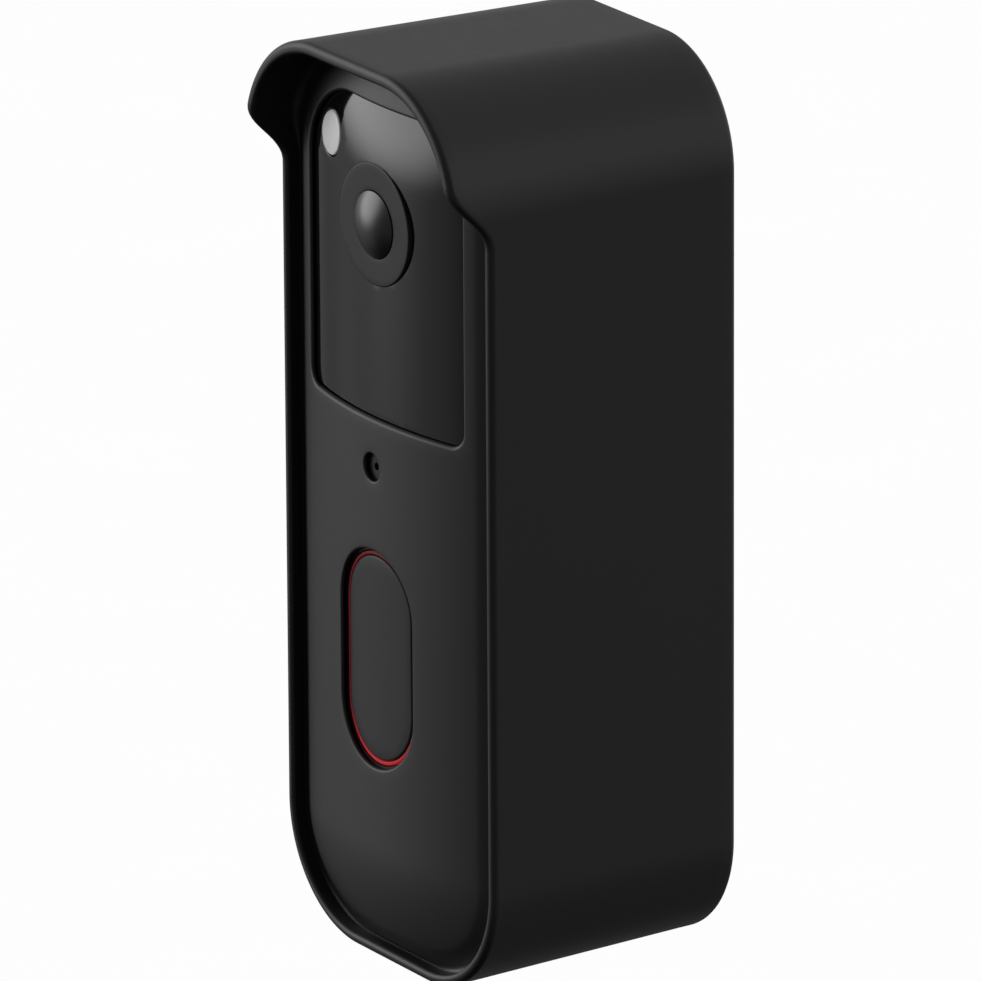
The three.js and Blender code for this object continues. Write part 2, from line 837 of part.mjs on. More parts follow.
function housingScrewSolid(x, z) {
  const seat = seatDepth - seatGap;
  return turned([
    [0, seat - housingScrewHeadHeight],
    [housingScrewHead, seat - housingScrewHeadHeight],
    [housingScrewHead, seat],
    [housingScrewShank, seat],
    [housingScrewShank, screwTip - housingScrewShank],
    [0, screwTip],
  ], x, z, smallRoundSteps);
}

// ---------------------------------------------------------------- camera

const bezelFront = bodyFront + bezelRise;
const dotX = -dotSide;
const dotZ = lensZ + dotRise;
const barrelFront = bodyFront - lensBack - seatGap;
const barrelBack = barrelFront - barrelLength;

function cameraWindowSolid() {
  return bowedPlate(windowShape(windowMargin), windowBack, bodyFront, 0, windowZ)
    .subtract(rod(bezelSkirtRadius + seatGap, windowBack - panelWall, ahead, 0, lensZ, roundSteps))
    .subtract(rod(dotRadius + dotGap, windowBack - panelWall, ahead, dotX, dotZ, roundSteps));
}

function bezelSolid() {
  return rod(bezelRadius, windowBack, bezelFront, 0, lensZ, ringSteps)
    .subtract(bowed(bodyFront + dotGap))
    .add(rod(bezelSkirtRadius, bodyFront - bezelSkirtLength, bodyFront + bezelRise / 2, 0, lensZ, ringSteps))
    .subtract(rod(bezelBore, axisDepth, ahead, 0, lensZ, ringSteps));
}

function frontLensSolid() {
  const apex = bezelFront + lensLift;
  const edge = Math.asin(lensRadius / lensCurve);
  const pairs = [[0, bodyFront - lensBack], [lensRadius, bodyFront - lensBack]];
  for (let i = 0; i <= edgeSteps * 2; i += 1) {
    const angle = edge * (1 - i / (edgeSteps * 2));
    const radius = i === edgeSteps * 2 ? 0 : lensCurve * Math.sin(angle);
    pairs.push([radius, apex - lensCurve * (1 - Math.cos(angle))]);
  }
  return turned(pairs, 0, lensZ);
}

function barrelSolid() {
  return turned([
    [barrelBore, barrelBack],
    [barrelRadius, barrelBack],
    [barrelRadius, barrelFront],
    [barrelMouth, barrelFront],
    [barrelBore, barrelFront - barrelLength * barrelMouthShare],
  ], 0, lensZ);
}

function rearLensSolid() {
  const middle = barrelBack + barrelLength * barrelMouthShare;
  const radius = barrelBore - seatGap;
  return turned([
    [0, middle - rearLensBulge - rearLensEdge / 2],
    [radius / 2, middle - rearLensBulge * rearLensShoulder - rearLensEdge / 2],
    [radius, middle - rearLensEdge / 2],
    [radius, middle + rearLensEdge / 2],
    [radius / 2, middle + rearLensBulge * rearLensShoulder + rearLensEdge / 2],
    [0, middle + rearLensBulge + rearLensEdge / 2],
  ], 0, lensZ, smallRoundSteps);
}

function ledSolid(x) {
  const base = cameraBoardFront + seatGap;
  return turned([
    [0, base],
    [ledRadius + ledFlange, base],
    [ledRadius + ledFlange, base + ledFlangeLength],
    [ledRadius, base + ledFlangeLength],
    [ledRadius, base + ledLength - ledRadius],
    [ledRadius * Math.SQRT1_2, base + ledLength - ledRadius * (1 - Math.SQRT1_2)],
    [0, base + ledLength],
  ], x, lensZ - ledDrop, smallRoundSteps);
}

// ---------------------------------------------------------------- button

const ringFront = bodyFront - ringDrop;
const capFront = ringFront + capLift;
const flangeFront = panelBack - seatGap;
const flangeBack = flangeFront - ringFlangeThickness;
const lipFront = flangeBack - islandGap;
const lipBack = lipFront - capLipThickness;
const islandWidth = ringInnerWidth - 2 * islandGap;
const islandHeight = ringInnerHeight - 2 * islandGap;
const boardSeat = mainBoardFront + seatGap;
const switchTop = boardSeat + switchHeight;
const plungerFront = switchTop + plungerHeight;
const postX = ringOuterWidth / 2 + ringFlange - postRadius - islandGap;

function lightRingSolid() {
  const inner = prism(pill(ringInnerWidth, ringInnerHeight), axisDepth, ahead, 0, buttonZ);
  let ring = bowedPlate(pill(ringOuterWidth, ringOuterHeight), flangeBack, ringFront, 0, buttonZ)
    .add(bowedPlate(
      pill(ringOuterWidth + 2 * ringFlange, ringOuterHeight + 2 * ringFlange),
      flangeBack,
      flangeFront,
      0,
      buttonZ,
    ))
    .subtract(inner);
  const postBack = boardSeat + ringLedHeight + seatGap;
  earPlaces.forEach(([side, end]) => {
    ring = ring.add(rod(postRadius, postBack, ahead, side * postX, buttonZ + end * postSpacing / 2)
      .intersect(bowed(flangeFront)));
  });
  return ring;
}

function buttonCapSolid() {
  const island = bowedPlate(pill(islandWidth, islandHeight), lipBack, capFront, 0, buttonZ);
  const lip = bowedPlate(
    pill(ringInnerWidth + 2 * capLip, ringInnerHeight + 2 * capLip),
    lipBack,
    lipFront,
    0,
    buttonZ,
  );
  const hollow = bowedPrism(
    pill(islandWidth - 2 * capWall, islandHeight - 2 * capWall),
    axisDepth,
    capFront - capWall,
    0,
    buttonZ,
  );
  const stem = rod(stemRadius, plungerFront + seatGap, ahead, 0, buttonZ)
    .intersect(bowed(capFront - capWall / 2));
  return island.add(lip).subtract(hollow).add(stem);
}

function buttonSwitchSolid() {
  return block(switchSide, switchHeight, switchSide, 0, boardSeat + switchHeight / 2, buttonZ)
    .subtract(rod(plungerRadius + seatGap, switchTop - switchBore, ahead, 0, buttonZ));
}

function plungerSolid() {
  return rod(plungerRadius, switchTop - switchBore + buttonTravel + seatGap, plungerFront, 0, buttonZ);
}

function bootSolid() {
  const top = lipBack - buttonTravel - islandGap - bowDrop(bootRadius);
  return turned([
    [bootRadius - bootWall, boardSeat],
    [bootRadius, boardSeat],
    [bootRadius, top],
    [bootRadius - bootWall, top],
  ], 0, buttonZ);
}

// How far the bowed surface falls away at a distance from the middle line.
function bowDrop(side) {
  const radius = lipBack - axisDepth;
  return radius - Math.sqrt(radius * radius - side * side);
}

// ---------------------------------------------------------------- electronics

function mainBoardSolid() {
  const height = boardTop - boardBottom;
  return prism(
    roundedRect(boardWidth, height, boardCorner),
    mainBoardBackFace,
    mainBoardFront,
    0,
    boardBottom + height / 2,
  ).intersect(prism(
    roundedRect(innerWidth - 2 * skinGap, innerHeight - 2 * skinGap, innerRadius - skinGap),
    0,
    ahead,
  ));
}

function ribbonSolid() {
  const upper = cameraBoardFront - boardThickness - seatGap - ribbonThickness;
  const lower = mainBoardBackFace - seatGap - ribbonThickness;
  const high = cameraBoardZ - cameraBoardHeight / 2;
  return sideProfile([
    [upper, high + ribbonLap],
    [upper, high - ribbonLap / 2],
    [lower, boardTop + ribbonLap / 2],
    [lower, boardTop - ribbonLap],
    [lower + ribbonThickness, boardTop - ribbonLap],
    [lower + ribbonThickness, boardTop + ribbonLap / 2 + ribbonThickness],
    [upper + ribbonThickness, high - ribbonLap / 2 + ribbonThickness],
    [upper + ribbonThickness, high + ribbonLap],
  ], -ribbonWidth / 2, ribbonWidth / 2);
}

function speakerSolid() {
  const high = speakerLow + speakerThickness;
  return turnedUpright([
    [0, speakerLow + speakerConeDepth],
    [speakerDomeRadius, speakerLow + speakerConeDepth / 2],
    [speakerMagnetRadius, speakerLow + speakerConeDepth],
    [speakerConeRadius, speakerLow],
    [speakerRadius, speakerLow],
    [speakerRadius, speakerLow + speakerFlange],
    [speakerMagnetRadius, speakerLow + speakerFlange],
    [speakerMagnetRadius, high],
    [0, high],
  ], 0, speakerDepth, roundSteps);
}

function speakerGasketSolid() {
  const low = bodyBottom + housingWall + seatGap;
  return turnedUpright([
    [speakerRadius - gasketBand, low],
    [speakerRadius, low],
    [speakerRadius, low + gasketThickness],
    [speakerRadius - gasketBand, low + gasketThickness],
  ], 0, speakerDepth, roundSteps);
}

function cellSolid(x) {
  return turnedUpright([
    [0, cellLow],
    [cellRadius, cellLow],
    [cellRadius, cellHigh],
    [capRadius, cellHigh],
    [capRadius, cellHigh + capHeight],
    [0, cellHigh + capHeight],
  ], x, cellDepth, roundSteps);
}

function traySolid() {
  const low = cellLow - linkThickness - 2 * seatGap - trayWall;
  const back = rearWallInner + seatGap;
  const front = cellDepth - trayLow;
  const width = 2 * (cellMiddle + cellRadius + seatGap + trayWall);
  let tray = block(width, front - back, trayTop - low, 0, (front + back) / 2, (trayTop + low) / 2);
  [-1, 1].forEach((side) => {
    tray = tray.subtract(column(
      disc(cellRadius + seatGap, roundSteps),
      low + trayWall,
      trayTop - trayWall,
      side * cellMiddle,
      cellDepth,
    ));
  });
  return tray.subtract(block(
    2 * (cellMiddle + linkWidth / 2 + seatGap),
    linkWidth + 2 * seatGap,
    trayTop - trayWall - cellHigh,
    0,
    cellDepth,
    (trayTop - trayWall + cellHigh) / 2,
  ));
}

function portSolid() {
  const high = portLow + portLength;
  const shell = column(roundedRect(portWidth, portHeight, portHeight / 2), portLow, high, 0, portDepth);
  const inside = column(
    roundedRect(portWidth - 2 * portWall, portHeight - 2 * portWall, portHeight / 2 - portWall),
    portLow - cutMargin,
    high - portWall * 2,
    0,
    portDepth,
  );
  const tongueHeight = portLength - coverPlugHeight - portWall;
  const tongue = block(
    portWidth - 4 * portWall - 2 * portTongue,
    portTongue,
    tongueHeight,
    0,
    portDepth,
    high - tongueHeight / 2,
  );
  return shell.subtract(inside).add(tongue);
}

function portCoverSolid() {
  const low = coverPinZ - coverThickness / 2;
  const front = portDepth + coverDepth / 2;
  const plate = block(
    coverWidth,
    front - coverPinDepth,
    coverThickness,
    0,
    (front + coverPinDepth) / 2,
    coverPinZ,
  );
  const plug = block(
    coverPlugWidth,
    coverPlugDepth,
    coverThickness + coverPlugHeight,
    0,
    portDepth,
    low + (coverThickness + coverPlugHeight) / 2,
  );
  const pin = sideProfile(
    Array.from({ length: smallRoundSteps }, (unused, i) => {
      const angle = 2 * Math.PI * i / smallRoundSteps;
      return [coverPinDepth + coverPinRadius * Math.cos(angle), coverPinZ + coverPinRadius * Math.sin(angle)];
    }),
    -coverWidth / 2,
    coverWidth / 2,
  );
  return plate.add(plug).add(pin);
}

// ---------------------------------------------------------------- back

function resetButtonSolid() {
  const back = recessDepth + seatGap;
  const inner = rearWallInner + seatGap;
  return turned([
    [0, back],
    [resetRadius, back],
    [resetRadius, inner],
    [resetRadius + resetFlange, inner],
    [resetRadius + resetFlange, inner + resetFlange],
    [0, inner + resetFlange],
  ], resetSide, resetZ, smallRoundSteps);
}

function terminalScrewSolid(x) {
  const under = recessDepth + terminalHeadHeight + seatGap;
  return turned([
    [0, recessDepth + seatGap],
    [terminalHead, recessDepth + seatGap],
    [terminalHead, under],
    [terminalShank, under],
    [terminalShank, terminalSeat + terminalShankLength - seatGap],
    [0, terminalSeat + terminalShankLength - seatGap],
  ], x, terminalZ, smallRoundSteps);
}

function terminalPlateSolid(x) {
  const back = recessDepth + terminalHeadHeight + 2 * seatGap;
  return block(
    terminalPlateSide,
    terminalPlateThickness,
    terminalPlateSide,
    x,
    back + terminalPlateThickness / 2,
    terminalZ,
  ).subtract(rod(terminalShank + seatGap, 0, ahead, x, terminalZ));
}

// ---------------------------------------------------------------- bracket

const footTop = bodyBottom - slideGap;
const footBottom = footTop - footThickness;
const lockScrewTop = footBottom + lockScrewLength;
const lockBossTop = lockScrewTop + housingWall;

function bracketSolid() {
  const height = bracketTop - bracketBottom;
  let plate = prism(roundedRect(2 * bracketHalf, height, bracketRadius), 0, bracketDepth, 0, bracketZ);
  earPlaces.forEach(([side, end]) => {
    plate = plate.add(block(
      earReach + seatGap,
      earThickness,
      earLength,
      side * (bracketHalf + (earReach - seatGap) / 2),
      bracketDepth - earThickness / 2,
      bracketZ + end * earSpacing / 2,
    ));
  });
  plate = plate
    .add(block(
      tongueWidth,
      tongueThickness,
      bracketBottom + bracketRadius - footBottom,
      0,
      tongueThickness / 2,
      (bracketBottom + bracketRadius + footBottom) / 2,
    ))
    .add(block(tongueWidth, footLength, footThickness, 0, footLength / 2, (footTop + footBottom) / 2))
    .subtract(prism(
      roundedRect(wireWindowWidth, wireWindowHeight, cutMargin),
      -cutMargin,
      ahead,
      0,
      terminalZ,
    ));
  [-1, 1].forEach((end) => {
    const z = bracketZ + end * wallHoleSpacing / 2;
    plate = plate
      .subtract(rod(wallHoleRadius, -cutMargin, ahead, 0, z))
      .subtract(turned([
        [0, bracketDepth - wallHoleSink],
        [wallHoleRadius, bracketDepth - wallHoleSink],
        [wallHoleHead, bracketDepth],
        [wallHoleHead, bracketDepth + cutMargin],
        [0, bracketDepth + cutMargin],
      ], 0, z));
  });
  return plate.subtract(turnedUpright([
    [0, footBottom - cutMargin],
    [lockScrewHead + seatGap, footBottom - cutMargin],
    [lockScrewHead + seatGap, footBottom],
    [lockScrewShank + seatGap, footBottom + lockScrewHeadHeight],
    [lockScrewShank + seatGap, footTop + cutMargin],
    [0, footTop + cutMargin],
  ], 0, lockScrewDepth));
}

function lockScrewSolid() {
  return turnedUpright([
    [0, footBottom],
    [lockScrewHead, footBottom],
    [lockScrewShank, footBottom + lockScrewHeadHeight],
    [lockScrewShank, lockScrewTop - lockScrewShank],
    [0, lockScrewTop],
  ], 0, lockScrewDepth);
}

// ---------------------------------------------------------------- assembly

const doorbell = new THREE.Group();
doorbell.name = 'doorbell_assembly';
const sleeve = new THREE.Group();
sleeve.name = 'sleeve_group';
const body = new THREE.Group();
body.name = 'body_group';
const camera = new THREE.Group();
camera.name = 'camera_group';
camera.position.set(0, 0, lensZ);
const button = new THREE.Group();
button.name = 'button_group';
button.position.set(0, 0, buttonZ);
const power = new THREE.Group();
power.name = 'power_group';
const bracket = new THREE.Group();
bracket.name = 'bracket_group';
body.add(camera, button, power);
doorbell.add(sleeve, body, bracket);

const inCamera = (name, solid, material) => place(camera, name, solid.translate([0, 0, -lensZ]), material);
const inButton = (name, solid, material) => place(button, name, solid.translate([0, 0, -buttonZ]), material);

place(sleeve, 'silicone_sleeve', sleeveSolid(), silicone);
place(body, 'front_cover', frontCoverSolid(), blackPlastic);
place(body, 'rear_housing', rearHousingSolid(), blackPlastic);
place(body, 'housing_seal', housingSealSolid(), rubber);
screwPlaces.forEach(([x, z], i) => {
  place(body, `housing_screw_${i + 1}`, housingScrewSolid(x, z), steel);
});

inCamera('camera_window', cameraWindowSolid(), glossBlack);
inCamera('lens_bezel', bezelSolid(), blackPlastic);
inCamera('front_lens', frontLensSolid(), lensGlass);
inCamera('lens_barrel', barrelSolid(), blackPlastic);
inCamera('rear_lens', rearLensSolid(), lensGlass);
inCamera('lens_holder', block(
  holderSide,
  holderLength,
  holderSide,
  0,
  cameraBoardFront + seatGap + holderLength / 2,
  lensZ,
).subtract(rod(holderBore, 0, ahead, 0, lensZ)), blackPlastic);
inCamera('image_sensor', block(
  sensorSide,
  sensorThickness,
  sensorSide,
  0,
  cameraBoardFront + seatGap + sensorThickness / 2,
  lensZ,
), chipBlack);
inCamera('camera_board', prism(
  roundedRect(cameraBoardWidth, cameraBoardHeight, cameraBoardCorner),
  cameraBoardFront - boardThickness,
  cameraBoardFront,
  0,
  cameraBoardZ,
), circuitGreen);
inCamera('infrared_led_left', ledSolid(-ledSide), lensGlass);
inCamera('infrared_led_right', ledSolid(ledSide), lensGlass);
inCamera(
  'light_sensor_cover',
  bowedPlate(disc(dotRadius), bodyFront - dotThickness, bodyFront + dotLift, dotX, dotZ),
  whiteDiffuser,
);
inCamera('light_guide', rod(
  guideRadius,
  cameraBoardFront + lightSensorHeight + 2 * seatGap,
  ahead,
  dotX,
  dotZ,
).intersect(bowed(bodyFront - dotThickness - seatGap)), whitePlastic);
inCamera('light_sensor', block(
  lightSensorSide,
  lightSensorHeight,
  lightSensorSide,
  dotX,
  cameraBoardFront + seatGap + lightSensorHeight / 2,
  dotZ,
), chipBlack);

inButton('button_cap', buttonCapSolid(), blackPlastic);
inButton('button_light_ring', lightRingSolid(), redDiffuser);
inButton('switch_plunger', plungerSolid(), whitePlastic);
inButton('button_switch', buttonSwitchSolid(), chipBlack);
inButton('button_boot', bootSolid(), rubber);
earPlaces.forEach(([side, end], i) => {
  inButton(`ring_led_${i + 1}`, block(
    ringLedSide,
    ringLedHeight,
    ringLedSide,
    side * postX,
    boardSeat + ringLedHeight / 2,
    buttonZ + end * postSpacing / 2,
  ), redDiffuser);
});

place(body, 'main_board', mainBoardSolid(), circuitGreen);
['wifi_shield', 'processor_shield'].forEach((name, i) => {
  place(body, name, block(
    shieldWidth,
    shieldThickness,
    shieldHeight,
    (2 * i - 1) * shieldSide,
    boardSeat + shieldThickness / 2,
    boardTop - shieldDrop - shieldHeight / 2,
  ), steel);
});
place(body, 'microphone', block(
  micCanSide,
  micCanHeight,
  micCanSide,
  0,
  boardSeat + micCanHeight / 2,
  micZ,
), steel);
place(body, 'microphone_seal', turned([
  [pinholeRadius, boardSeat + micCanHeight + seatGap],
  [micBootRadius, boardSeat + micCanHeight + seatGap],
  [micBootRadius, panelBack - seatGap - bowDrop(micBootRadius)],
  [pinholeRadius, panelBack - seatGap - bowDrop(micBootRadius)],
], 0, micZ, smallRoundSteps), rubber);
place(body, 'antenna', block(
  antennaThickness,
  antennaWidth,
  antennaLength,
  -(innerWidth / 2 - seatGap - antennaThickness / 2),
  bodyFront - antennaBack,
  boardTop - antennaLength / 2,
), amberFilm);
place(body, 'ribbon_cable', ribbonSolid(), amberFilm);
place(body, 'speaker', speakerSolid(), chipBlack);
place(body, 'speaker_gasket', speakerGasketSolid(), rubber);

place(power, 'battery_cell_left', cellSolid(-cellMiddle), cellWrap);
place(power, 'battery_cell_right', cellSolid(cellMiddle), cellWrap);
place(power, 'battery_tray', traySolid(), blackPlastic);
place(power, 'battery_link', block(
  2 * cellMiddle + linkWidth,
  linkWidth,
  linkThickness,
  0,
  cellDepth,
  cellHigh + capHeight + seatGap + linkThickness / 2,
), steel);
['battery_contact_left', 'battery_contact_right'].forEach((name, i) => {
  place(power, name, block(
    linkWidth,
    linkWidth,
    linkThickness,
    (2 * i - 1) * cellMiddle,
    cellDepth,
    cellLow - seatGap - linkThickness / 2,
  ), steel);
});
place(power, 'charging_port', portSolid(), steel);
place(power, 'charging_board', block(
  chargeBoardWidth,
  boardThickness,
  chargeBoardHeight,
  0,
  portDepth - portHeight / 2 - seatGap - boardThickness / 2,
  portLow + portBlockHeight + seatGap + chargeBoardHeight / 2,
), circuitGreen);
place(power, 'port_cover', portCoverSolid(), rubber, [0, coverPinDepth, coverPinZ]);

place(body, 'reset_button', resetButtonSolid(), whitePlastic, [resetSide, recessDepth, resetZ]);
place(body, 'reset_switch', block(
  resetSwitchSide,
  resetSwitchHeight,
  resetSwitchSide,
  resetSide,
  rearBoardFront - seatGap - resetSwitchHeight / 2,
  resetZ,
), chipBlack);
place(body, 'rear_board', block(
  rearBoardSide,
  boardThickness,
  rearBoardSide,
  resetSide,
  rearBoardFront + boardThickness / 2,
  resetZ,
), circuitGreen);
['left', 'right'].forEach((name, i) => {
  const x = (2 * i - 1) * terminalPitch / 2;
  place(body, `terminal_screw_${name}`, terminalScrewSolid(x), steel);
  place(body, `terminal_plate_${name}`, terminalPlateSolid(x), brass);
});

place(bracket, 'wall_bracket', bracketSolid(), blackPlastic);
place(bracket, 'lock_screw', lockScrewSolid(), steel, [0, lockScrewDepth, footBottom]);

export default doorbell;
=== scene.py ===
# Video doorbell in a hooded silicone sleeve: fine shapes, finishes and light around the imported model.
import json
import math
import bmesh
import bpy
import numpy as np
from mathutils import Matrix, Vector
from mathutils.geometry import delaunay_2d_cdt


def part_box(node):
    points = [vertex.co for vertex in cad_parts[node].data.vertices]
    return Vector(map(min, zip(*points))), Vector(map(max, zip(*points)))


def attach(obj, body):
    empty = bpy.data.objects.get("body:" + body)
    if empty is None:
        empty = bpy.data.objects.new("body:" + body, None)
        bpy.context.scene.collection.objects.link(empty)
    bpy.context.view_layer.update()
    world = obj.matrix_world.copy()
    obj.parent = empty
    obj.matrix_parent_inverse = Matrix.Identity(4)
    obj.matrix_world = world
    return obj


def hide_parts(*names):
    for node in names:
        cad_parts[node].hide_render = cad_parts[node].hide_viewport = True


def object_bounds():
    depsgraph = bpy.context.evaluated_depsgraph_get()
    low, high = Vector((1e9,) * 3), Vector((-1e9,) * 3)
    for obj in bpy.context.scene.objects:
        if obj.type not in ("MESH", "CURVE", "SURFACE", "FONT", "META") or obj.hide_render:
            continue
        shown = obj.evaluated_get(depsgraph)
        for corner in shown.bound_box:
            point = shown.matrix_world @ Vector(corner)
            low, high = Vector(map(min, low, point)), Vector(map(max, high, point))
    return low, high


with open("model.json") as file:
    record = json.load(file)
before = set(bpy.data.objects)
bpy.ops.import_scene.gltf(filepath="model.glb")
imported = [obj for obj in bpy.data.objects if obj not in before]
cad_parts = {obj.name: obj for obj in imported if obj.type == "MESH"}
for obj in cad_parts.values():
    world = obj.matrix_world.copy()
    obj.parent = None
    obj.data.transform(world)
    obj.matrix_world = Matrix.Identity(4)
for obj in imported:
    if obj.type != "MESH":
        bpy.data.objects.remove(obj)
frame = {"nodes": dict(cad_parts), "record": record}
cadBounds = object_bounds()
nodes = frame["nodes"]
metres = 0.001  # shapes are drawn in millimetres; depth counts forward from the wall, so y is -depth
quarter = math.pi / 2
tiny = 1e-6
print("frame loaded:", len(nodes), "nodes")


def mix(low, high, share):
    return low + (high - low) * share


def smoothStep(share):
    held = np.clip(share, 0, 1)
    return held * held * (3 - 2 * held)


def quarterTurn(steps, first=0):
    # The angles of a quarter turn in even steps.
    return [quarter * i / steps for i in range(first, steps + 1)]


def shares(steps):
    # Even shares of a run, without its start.
    return np.linspace(0, 1, steps + 1)[1:]


# The doorbell's front is a pillow: bowed about an upright line and rolled back at both ends.
pillow = {"apex": 45.8, "bowRadius": 78, "rollRadius": 38, "rollStart": 51.2, "rollLimit": 0.95}


def pillowDepth(x, z, below=0):
    bow = pillow["bowRadius"] - below
    roll = pillow["rollRadius"] - below
    past = np.clip(np.abs(z) - pillow["rollStart"], 0, roll * pillow["rollLimit"])
    fall = bow - np.sqrt(bow * bow - np.square(np.clip(x, -bow, bow)))
    return pillow["apex"] - below - fall - (roll - np.sqrt(roll * roll - past * past))


class Outline:
    # A closed run of four corner arcs in the plane of the front, with its outward direction at each point.
    def __init__(self, width, height, topRadius, lowRadius, middle=(0, 0), spacing=1.0, arcSteps=10):
        halfX, halfZ = width / 2, height / 2
        corners = [
            (halfX - topRadius, halfZ - topRadius, topRadius),
            (topRadius - halfX, halfZ - topRadius, topRadius),
            (lowRadius - halfX, lowRadius - halfZ, lowRadius),
            (halfX - lowRadius, lowRadius - halfZ, lowRadius),
        ]
        points, outward = [], []
        for turn, (cx, cz, radius) in enumerate(corners):
            steps = max(arcSteps, round(radius * quarter / spacing))
            for i in range(steps + 1):
                angle = (turn + i / steps) * quarter
                way = (math.cos(angle), math.sin(angle))
                points.append((cx + radius * way[0], cz + radius * way[1]))
                outward.append(way)
            nx, nz, nextRadius = corners[(turn + 1) % 4]
            last = points[-1]
            ahead = (nx + nextRadius * way[0], nz + nextRadius * way[1])
            runs = max(1, round(math.dist(last, ahead) / spacing))
            for i in range(1, runs):
                points.append((mix(last[0], ahead[0], i / runs), mix(last[1], ahead[1], i / runs)))
                outward.append(way)
        shortest = 1e-4
        keep = [i for i in range(len(points)) if math.dist(points[i], points[i - 1]) > shortest]
        self.points = np.array([points[i] for i in keep]) + np.array(middle)
        self.outward = np.array([outward[i] for i in keep])

    def out(self, by):
        return self.points + self.outward * np.reshape(by, (-1, 1))


def circle(radius, middle, steps=20):
    return Outline(2 * radius, 2 * radius, radius, radius, middle, 1.0, steps)


def pill(width, height, middle, spacing, steps=20):
    return Outline(width, height, width / 2, width / 2, middle, spacing, steps)


def inside(points, polygon):
    # Which points lie inside a polygon, by counting the sides that a line to their right crosses.
    x, z = points[:, 0:1], points[:, 1:2]
    ax, az = polygon[:, 0], polygon[:, 1]
    bx, bz = np.roll(ax, -1), np.roll(az, -1)
    spans = (az > z) != (bz > z)
    rise = np.where(bz == az, 1e-9, bz - az)  # a level side is never spanned, so any rise but zero does
    crossing = ax + (z - az) / rise * (bx - ax)
    return (spans & (x < crossing)).sum(1) % 2 == 1


class Shell:
    # Gathers loops of points, the strips between them and patches that fill them into one closed mesh.
    def __init__(self):
        self.points, self.faces = [], []

    def loop(self, flat, depth):
        start = len(self.points)
        depth = np.broadcast_to(depth, len(flat))
        self.points.extend((x, -d, z) for (x, z), d in zip(flat, depth))
        return np.arange(start, start + len(flat))

    def flat(self, loop):
        return np.array([(self.points[i][0], self.points[i][2]) for i in loop])

    def strips(self, loops):
        for a, b in zip(loops, loops[1:]):
            for i in range(len(a)):
                j = (i + 1) % len(a)
                self.faces.append((a[i], a[j], b[j], b[i]))

    def patch(self, outer, holes, depthAt, spacing):
        # Fills the room between a loop and the holes in it with nearly equal triangles.
        rims = [self.flat(ring) for ring in (outer, *holes)]
        allRims = np.concatenate(rims)

        def within(points):
            kept = inside(points, rims[0])
            for rim in rims[1:]:
                kept &= ~inside(points, rim)
            return kept

        edges, ids = [], []
        for ring in (outer, *holes):
            start = len(ids)
            ids.extend(ring)
            edges.extend((start + i, start + (i + 1) % len(ring)) for i in range(len(ring)))
        low, high = allRims.min(0), allRims.max(0)
        rows = np.arange(low[1] + spacing / 2, high[1], spacing * math.sqrt(3) / 2)
        grid = np.array([(x + (k % 2) * spacing / 2, z) for k, z in enumerate(rows)
                         for x in np.arange(low[0] + spacing / 2, high[0], spacing)]).reshape(-1, 2)
        grid = grid[within(grid)]
        gap = np.sqrt(((grid[:, None, :] - allRims[None, :, :]) ** 2).sum(2)).min(1)
        nearest = 0.55  # share of the spacing that the grid keeps from the rims
        grid = grid[gap > spacing * nearest]
        ids.extend(self.loop(grid, depthAt(grid[:, 0], grid[:, 1])))
        places = [Vector(place) for place in self.flat(ids)]
        made, _, triangles, origin, _, _ = delaunay_2d_cdt(places, edges, [], 0, tiny, True)
        middles = np.array([[sum(made[i][k] for i in corners) / 3 for k in (0, 1)] for corners in triangles])
        for kept, corners in zip(within(middles), triangles):
            if kept:
                self.faces.append(tuple(ids[origin[i][0]] for i in corners))

    def build(self, name, sharpAngle=35):
        mesh = bpy.data.meshes.new(name)
        scaled = [(x * metres, y * metres, z * metres) for x, y, z in self.points]
        mesh.from_pydata(scaled, [], [tuple(int(i) for i in face) for face in self.faces])
        return linked(mesh, name, sharpAngle)


def shade(mesh, sharpAngle):
    # Joins doubled corners, turns faces out, and shades smooth except over sharp edges.
    work = bmesh.new()
    work.from_mesh(mesh)
    bmesh.ops.remove_doubles(work, verts=work.verts, dist=1e-7)
    bmesh.ops.delete(work, geom=[v for v in work.verts if not v.link_faces], context="VERTS")
    bmesh.ops.recalc_face_normals(work, faces=work.faces)
    work.to_mesh(mesh)
    work.free()
    shadeSmooth(mesh, sharpAngle)


def shadeSmooth(mesh, sharpAngle):
    mesh.polygons.foreach_set("use_smooth", [True] * len(mesh.polygons))
    mesh.set_sharp_from_angle(angle=math.radians(sharpAngle))


def linked(mesh, name, sharpAngle):
    shade(mesh, sharpAngle)
    piece = bpy.data.objects.new(name, mesh)
    bpy.context.scene.collection.objects.link(piece)
    return piece


hiddenSteps = 3  # steps of a rounded edge that faces inwards


def edgeLoops(shell, outline, depthAt, radius, grow, fall, steps=5):
    # A rounded edge: from the face, grown or shrunk by the radius, over to the wall of the outline.
    loops = []
    for angle in quarterTurn(steps):
        flat = outline.out(grow * radius * (1 - math.sin(angle)))
        drop = fall * radius * (1 - math.cos(angle))
        loops.append(shell.loop(flat, depthAt(flat[:, 0], flat[:, 1]) - drop))
    return loops


def plate(name, outer, holes, front, back, roundFront, roundBack, spacing):
    # A plate between two surfaces, with rounded edges and with holes cut right through.
    shell = Shell()
    frontLoops, backLoops = [], []
    for outline, grow in [(outer, -1), *[(hole, 1) for hole in holes]]:
        face = edgeLoops(shell, outline, front, roundFront, grow, 1)
        rear = edgeLoops(shell, outline, back, roundBack, grow, -1, hiddenSteps)
        shell.strips([*face, *rear[::-1]])
        frontLoops.append(face[0])
        backLoops.append(rear[0])
    shell.patch(frontLoops[0], frontLoops[1:], front, spacing)
    shell.patch(backLoops[0], backLoops[1:], back, spacing)
    return shell.build(name)


